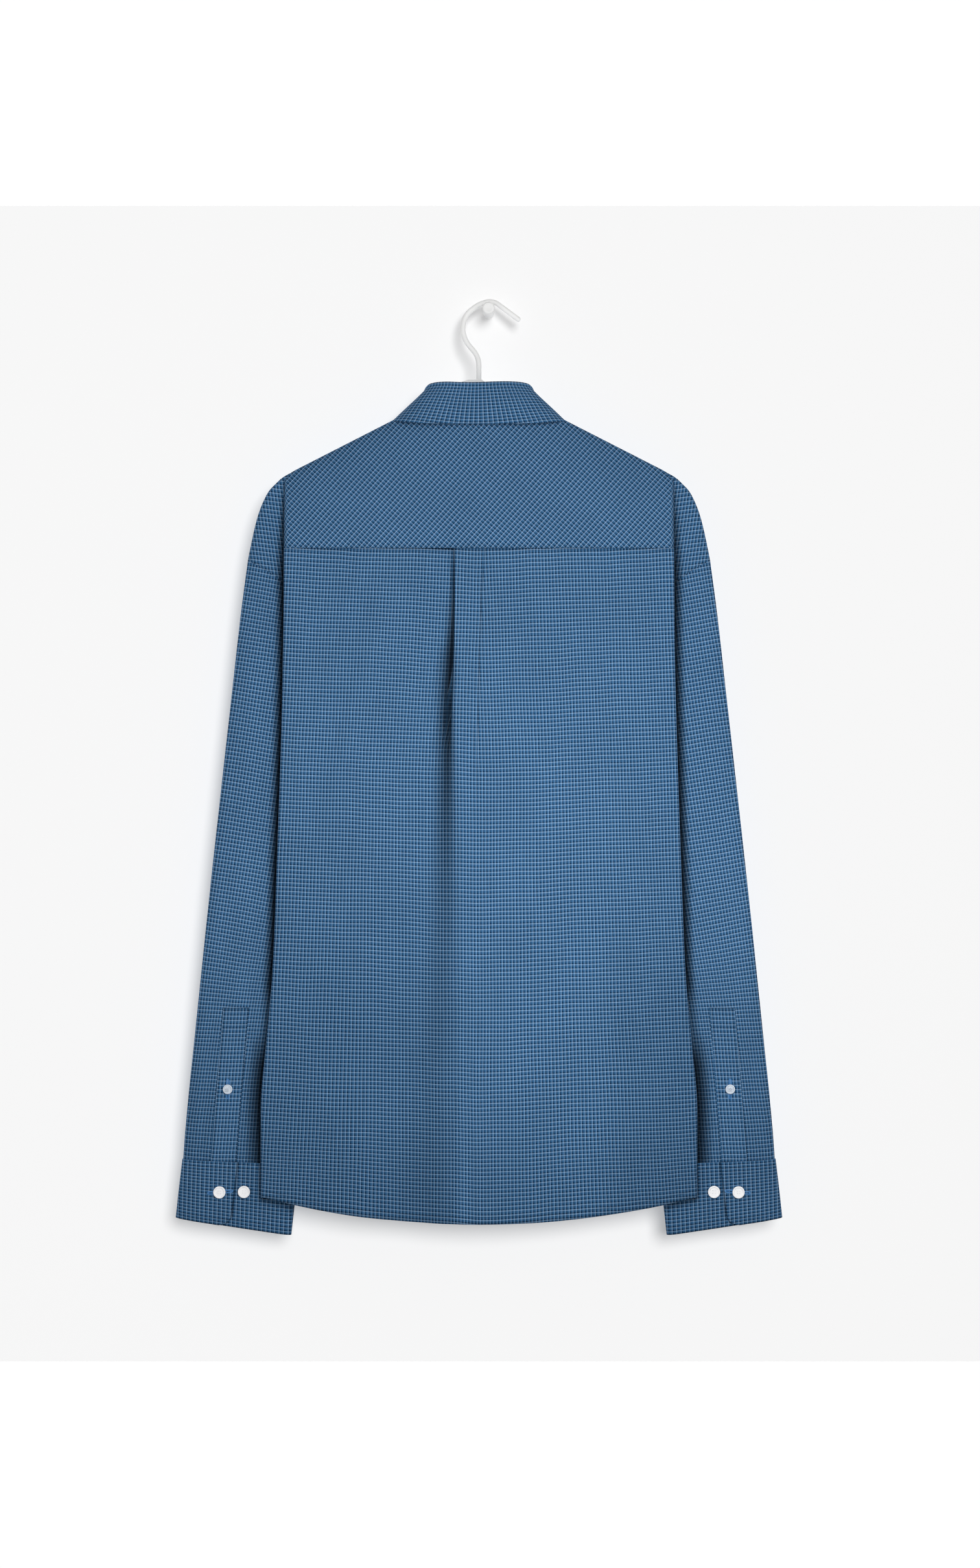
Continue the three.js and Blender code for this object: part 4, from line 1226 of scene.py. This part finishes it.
def button(name, radius, height, material, hole_share):
    """A four-hole button with a raised rim, sewn on with two rows of thread."""
    upright_disc(radius, height, 40)
    select_faces(lambda centre, normal: normal.y < -0.9)
    bpy.ops.mesh.inset(thickness=0.2 * radius * MM)
    bpy.ops.mesh.inset(thickness=0.1 * radius * MM, depth=-0.22 * height * MM)
    select_edges(lambda p: from_axis(p) > radius - 0.01 and (p.y < 0.01 - height or p.y > -0.01))
    bpy.ops.mesh.bevel(offset=0.2 * height * MM, segments=3, affect="EDGES")
    body = settle_piece(name, material)

    spread, hole = 0.2 * radius, hole_share * radius
    drills = []
    for x in (-spread, spread):
        for z in (-spread, spread):
            begin_piece()
            bpy.ops.mesh.primitive_cylinder_add(
                vertices=14, radius=hole * MM, depth=3.3 * height * MM, rotation=(math.pi / 2, 0, 0),
                location=(x * MM, -0.47 * height * MM, z * MM))
            drills.append(bpy.context.object)
    drill = join_pieces(drills)
    begin_piece()
    body.select_set(True)
    bpy.context.view_layer.objects.active = body
    cut = body.modifiers.new("holes", "BOOLEAN")
    cut.operation, cut.solver, cut.object = "DIFFERENCE", "EXACT", drill
    bpy.ops.object.modifier_apply(modifier=cut.name)
    bpy.data.objects.remove(drill)

    sewn_with = [body]
    for x in (-spread, spread):
        begin_piece()
        bpy.ops.mesh.primitive_cylinder_add(
            vertices=10, radius=0.42 * hole * MM, depth=2.5 * spread * MM,
            location=(x * MM, -0.8 * height * MM, 0))
        bpy.ops.object.transform_apply(location=True, rotation=True, scale=True)
        bpy.ops.object.mode_set(mode="EDIT")
        for end in (-1, 1):
            select_faces(lambda centre, normal: normal.z * end > 0.9)
            draw_out(Vector((0, 0.3 * height, end * 0.2)))
        sewn_with.append(settle_piece("thread", material))
    join_pieces(sewn_with)
    return settle_piece(name, material)


def buttonhole(name, half_length):
    """A stitched slit: a slim ring of thread pulled out to the slit's length, along X."""
    begin_piece()
    bpy.ops.mesh.primitive_torus_add(major_radius=1.0 * MM, minor_radius=0.52 * MM, major_segments=28,
                                     minor_segments=8, rotation=(math.pi / 2, 0, 0))
    bpy.ops.object.transform_apply(location=True, rotation=True, scale=True)
    bpy.ops.object.mode_set(mode="EDIT")
    for end in (-1, 1):
        select_faces(lambda centre, normal: centre.x * end > 0.05)
        bpy.ops.transform.translate(value=(end * (half_length - 1.4) * MM, 0, 0))
    select_edges(lambda p: True)
    bpy.ops.transform.resize(value=(1, 0.7, 1), center_override=(0, 0, 0))
    piece = settle_piece(name, THREAD.material, 60)
    layer = piece.data.attributes.new("along", "FLOAT", "POINT")
    layer.data.foreach_set("value", [vertex.co.x / MM for vertex in piece.data.vertices])
    return piece


HOOK_ROD = 2.45
HOOK_FOOT = (-9.2, CENTRE_Y, -72)
HOOK_LEAN = -14
# The rod's way up and over: straight run, then bend (degrees, positive to the left) and its radius.
HOOK_BENDS = [(18, 40, 24), (3.5, -47, 31), (0.5, -44, 22.5), (3, -23, 30), (0.5, -55, 13), (24.4, 0, 0)]


def hanger_hook():
    """A round rod, drawn out run by run and bent in the plane of the hanger, then leaned back to the wall."""
    begin_piece()
    place, heading = Vector(HOOK_FOOT), math.pi / 2
    bpy.ops.mesh.primitive_circle_add(
        vertices=20, radius=HOOK_ROD * MM, fill_type="NGON", location=place * MM)
    bpy.ops.object.transform_apply(location=True, rotation=True, scale=True)
    bpy.ops.object.mode_set(mode="EDIT")
    bpy.ops.mesh.select_all(action="SELECT")
    for run, bend, radius in HOOK_BENDS:
        along = Vector((math.cos(heading), 0, math.sin(heading)))
        draw_out(along * run)
        place += along * run
        if bend:
            turn = math.radians(bend)
            left = Vector((-along.z, 0, along.x)) * math.copysign(radius, bend)
            centre = place + left
            bpy.ops.mesh.spin(steps=abs(bend) // 3, angle=turn, center=centre * MM, axis=(0, 1, 0))
            place = centre + Matrix.Rotation(-turn, 3, "Y") @ -left
            heading += turn
    along = Vector((math.cos(heading), 0, math.sin(heading)))
    for step, narrower in ((1.0, 0.86), (0.8, 0.72), (0.35, 0.5)):
        draw_out(along * step)
        place += along * step
        bpy.ops.transform.resize(value=(narrower,) * 3, center_override=place * MM)
    bpy.ops.mesh.select_all(action="SELECT")
    bpy.ops.mesh.normals_make_consistent(inside=False)
    piece = settle_piece("hanger_hook_rod", WHITE_PLASTIC, 50)
    hub = Matrix.Translation(Vector((0, *HOOK_FOOT[1:])) * MM)
    piece.data.transform(hub @ Matrix.Rotation(math.radians(HOOK_LEAN), 4, "X") @ hub.inverted())
    return piece


PEG_STEM, PEG_CAP, PEG_REACH = 5.3, 5.8, 23


def wall_peg():
    """A turned peg: a stout round stem out of the wall, and a cap with a rounded rim and a dished face."""
    upright_disc(PEG_STEM, PEG_REACH)
    select_faces(lambda centre, normal: normal.y < -0.9)
    draw_out(Vector((0, -0.6, 0)))
    wider = PEG_CAP / PEG_STEM
    bpy.ops.transform.resize(value=(wider, 1, wider), center_override=(0, -(PEG_REACH + 0.6) * MM, 0))
    draw_out(Vector((0, -6.4, 0)))
    bpy.ops.mesh.inset(thickness=2.2 * MM)
    bpy.ops.mesh.inset(thickness=0.5 * MM, depth=-0.3 * MM)
    select_edges(lambda p: from_axis(p) > PEG_CAP - 0.01 and p.y < -29.9)
    bpy.ops.mesh.bevel(offset=1.7 * MM, segments=5, affect="EDGES")
    return settle_piece("wall_peg_turned", WHITE_ENAMEL, 40)


def copy_of(piece, name, place, face=-1, turned=0.0):
    """A copy with a mesh of its own, moved to its place (mm); face 1 looks to the wall."""
    made = piece.copy()
    made.data = piece.data.copy()
    made.name = made.data.name = name
    scene.collection.objects.link(made)
    facing = Matrix.Rotation(0 if face < 0 else math.pi, 4, "Z") @ Matrix.Rotation(turned, 4, "Y")
    made.data.transform(Matrix.Translation(place * MM) @ facing)
    return made


def skin(piece, x, z, face=-1):
    """The point of a piece's outer surface at x, z (mm), met from outside."""
    bpy.context.view_layer.update()
    start = Vector((x, face * 200, z)) * MM
    hit, place, _, _ = piece.ray_cast(start, Vector((0, -face, 0)))
    if not hit:
        raise RuntimeError(f"{piece.name} has no surface at {x}, {z}")
    return place / MM


# Pieces in place of their CAD nodes ---------------------------------------------------------------


def stands_for(piece, node):
    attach(piece, "root")
    if node:
        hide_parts(node)
    return piece


def cloth(piece, node, width, length, area, rests_on=(), held="hung", slot="shirting"):
    """Puts a sheet of cloth in place of its CAD node. The width by length, in metres, that it was cut to fit
    is not used.
    """
    stands_for(piece, node)
    return piece


arms = bpy.data.objects["hanger_body"]
cloth(yoke(), "yoke", 0.40, 0.19, 0.055, [arms], slot="bias_shirting")
cloth(back_panel(), "back_panel", 0.62, 0.66, 0.4)
cloth(collar_stand(), "collar_stand", 0.40, 0.03, 0.0085)
cloth(collar_leaf(), "collar_leaf", 0.44, 0.05, 0.0195, held="folded")
cloth_of = {}
for hand, side in (("left", -1), ("right", 1)):
    for name, made, width, length, area in (
        ("front", front, 0.31, 0.72, 0.205), ("shoulder", shoulder, 0.24, 0.10, 0.0125),
        ("sleeve", sleeve, 0.29, 0.57, 0.15), ("gauntlet", gauntlet, 0.026, 0.148, 0.0036),
        ("cuff", cuff, 0.245, 0.0585, 0.0142),
    ):
        cloth_of[name, hand] = cloth(made(hand, side), f"{name}_{hand}", width, length, area)

shirt_button = button("shirt_button", 5.75, 2.4, WHITE_RESIN, 0.06)
small_button = button("small_button", 4.5, 2.2, GREY_RESIN, 0.1)
cuff_hole = buttonhole("cuff_hole", 12)
gauntlet_hole = buttonhole("gauntlet_hole", 9.4)
front_hole = buttonhole("front_hole", 8.5)


def sewn(pattern, name, cloth, x, z, face=-1, turned=0.0, raised=0.15, node=None):
    place = skin(cloth, SHIRT_X + x, z, face)
    place.y += face * raised
    return stands_for(copy_of(pattern, name, place, face, turned), node)


for hand, side in (("left", -1), ("right", 1)):
    band, strip = cloth_of["cuff", hand], cloth_of["gauntlet", hand]
    x, z = side * GAUNTLET_BUTTON[0], GAUNTLET_BUTTON[1]
    sewn(cuff_hole, f"cuff_buttonhole_{hand}", band, side * CUFF_HOLE, CUFF_BUTTON_Z,
         turned=side * 0.09, raised=0.1)
    sewn(shirt_button, f"cuff_button_{hand}_lapped", band, side * CUFF_BUTTON_LAPPED, CUFF_BUTTON_Z,
         raised=0.4, node=f"cuff_button_{hand}_fastened")
    sewn(shirt_button, f"cuff_button_{hand}_spare", band, side * CUFF_BUTTON_SPARE, CUFF_BUTTON_Z,
         node=f"cuff_button_{hand}_free")
    sewn(gauntlet_hole, f"gauntlet_buttonhole_{hand}", strip, x, z, turned=math.pi / 2, raised=0.1)
    sewn(small_button, f"gauntlet_button_{hand}_sewn", strip, x, z, raised=0.4,
         node=f"gauntlet_button_{hand}")
placket = cloth_of["front", "left"]
for i in range(FRONT_BUTTONS):
    z = FRONT_BUTTON_TOP_Z - FRONT_BUTTON_PITCH * i
    sewn(front_hole, f"front_buttonhole_{i + 1}", placket, 0, z, face=1, turned=math.pi / 2, raised=0.1)
    sewn(shirt_button, f"front_button_{i + 1}_sewn", placket, 0, z, face=1, raised=0.4,
         node=f"front_button_{i + 1}")
for pattern in (shirt_button, small_button, cuff_hole, gauntlet_hole, front_hole):
    bpy.data.objects.remove(pattern)

stands_for(hanger_hook(), "hanger_hook")
stands_for(wall_peg(), "wall_peg")
for socket in arms.material_slots:
    socket.material = WHITE_PLASTIC

lit_buttons = bpy.data.collections.new("lit_buttons")
lit_plastic = bpy.data.collections.new("lit_plastic")
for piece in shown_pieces():
    (lit_plastic if piece.name.split("_")[0] in ("hanger", "wall") else lit_pieces).objects.link(piece)
    if "button_" in piece.name:
        lit_buttons.objects.link(piece)
lamp("button_light", (0.9, -2.9, 0.5), 1.4, 14, lit_buttons)
lamp("plastic_light", (0.2, -2.2, -0.7), 8.0, 158, lit_plastic)
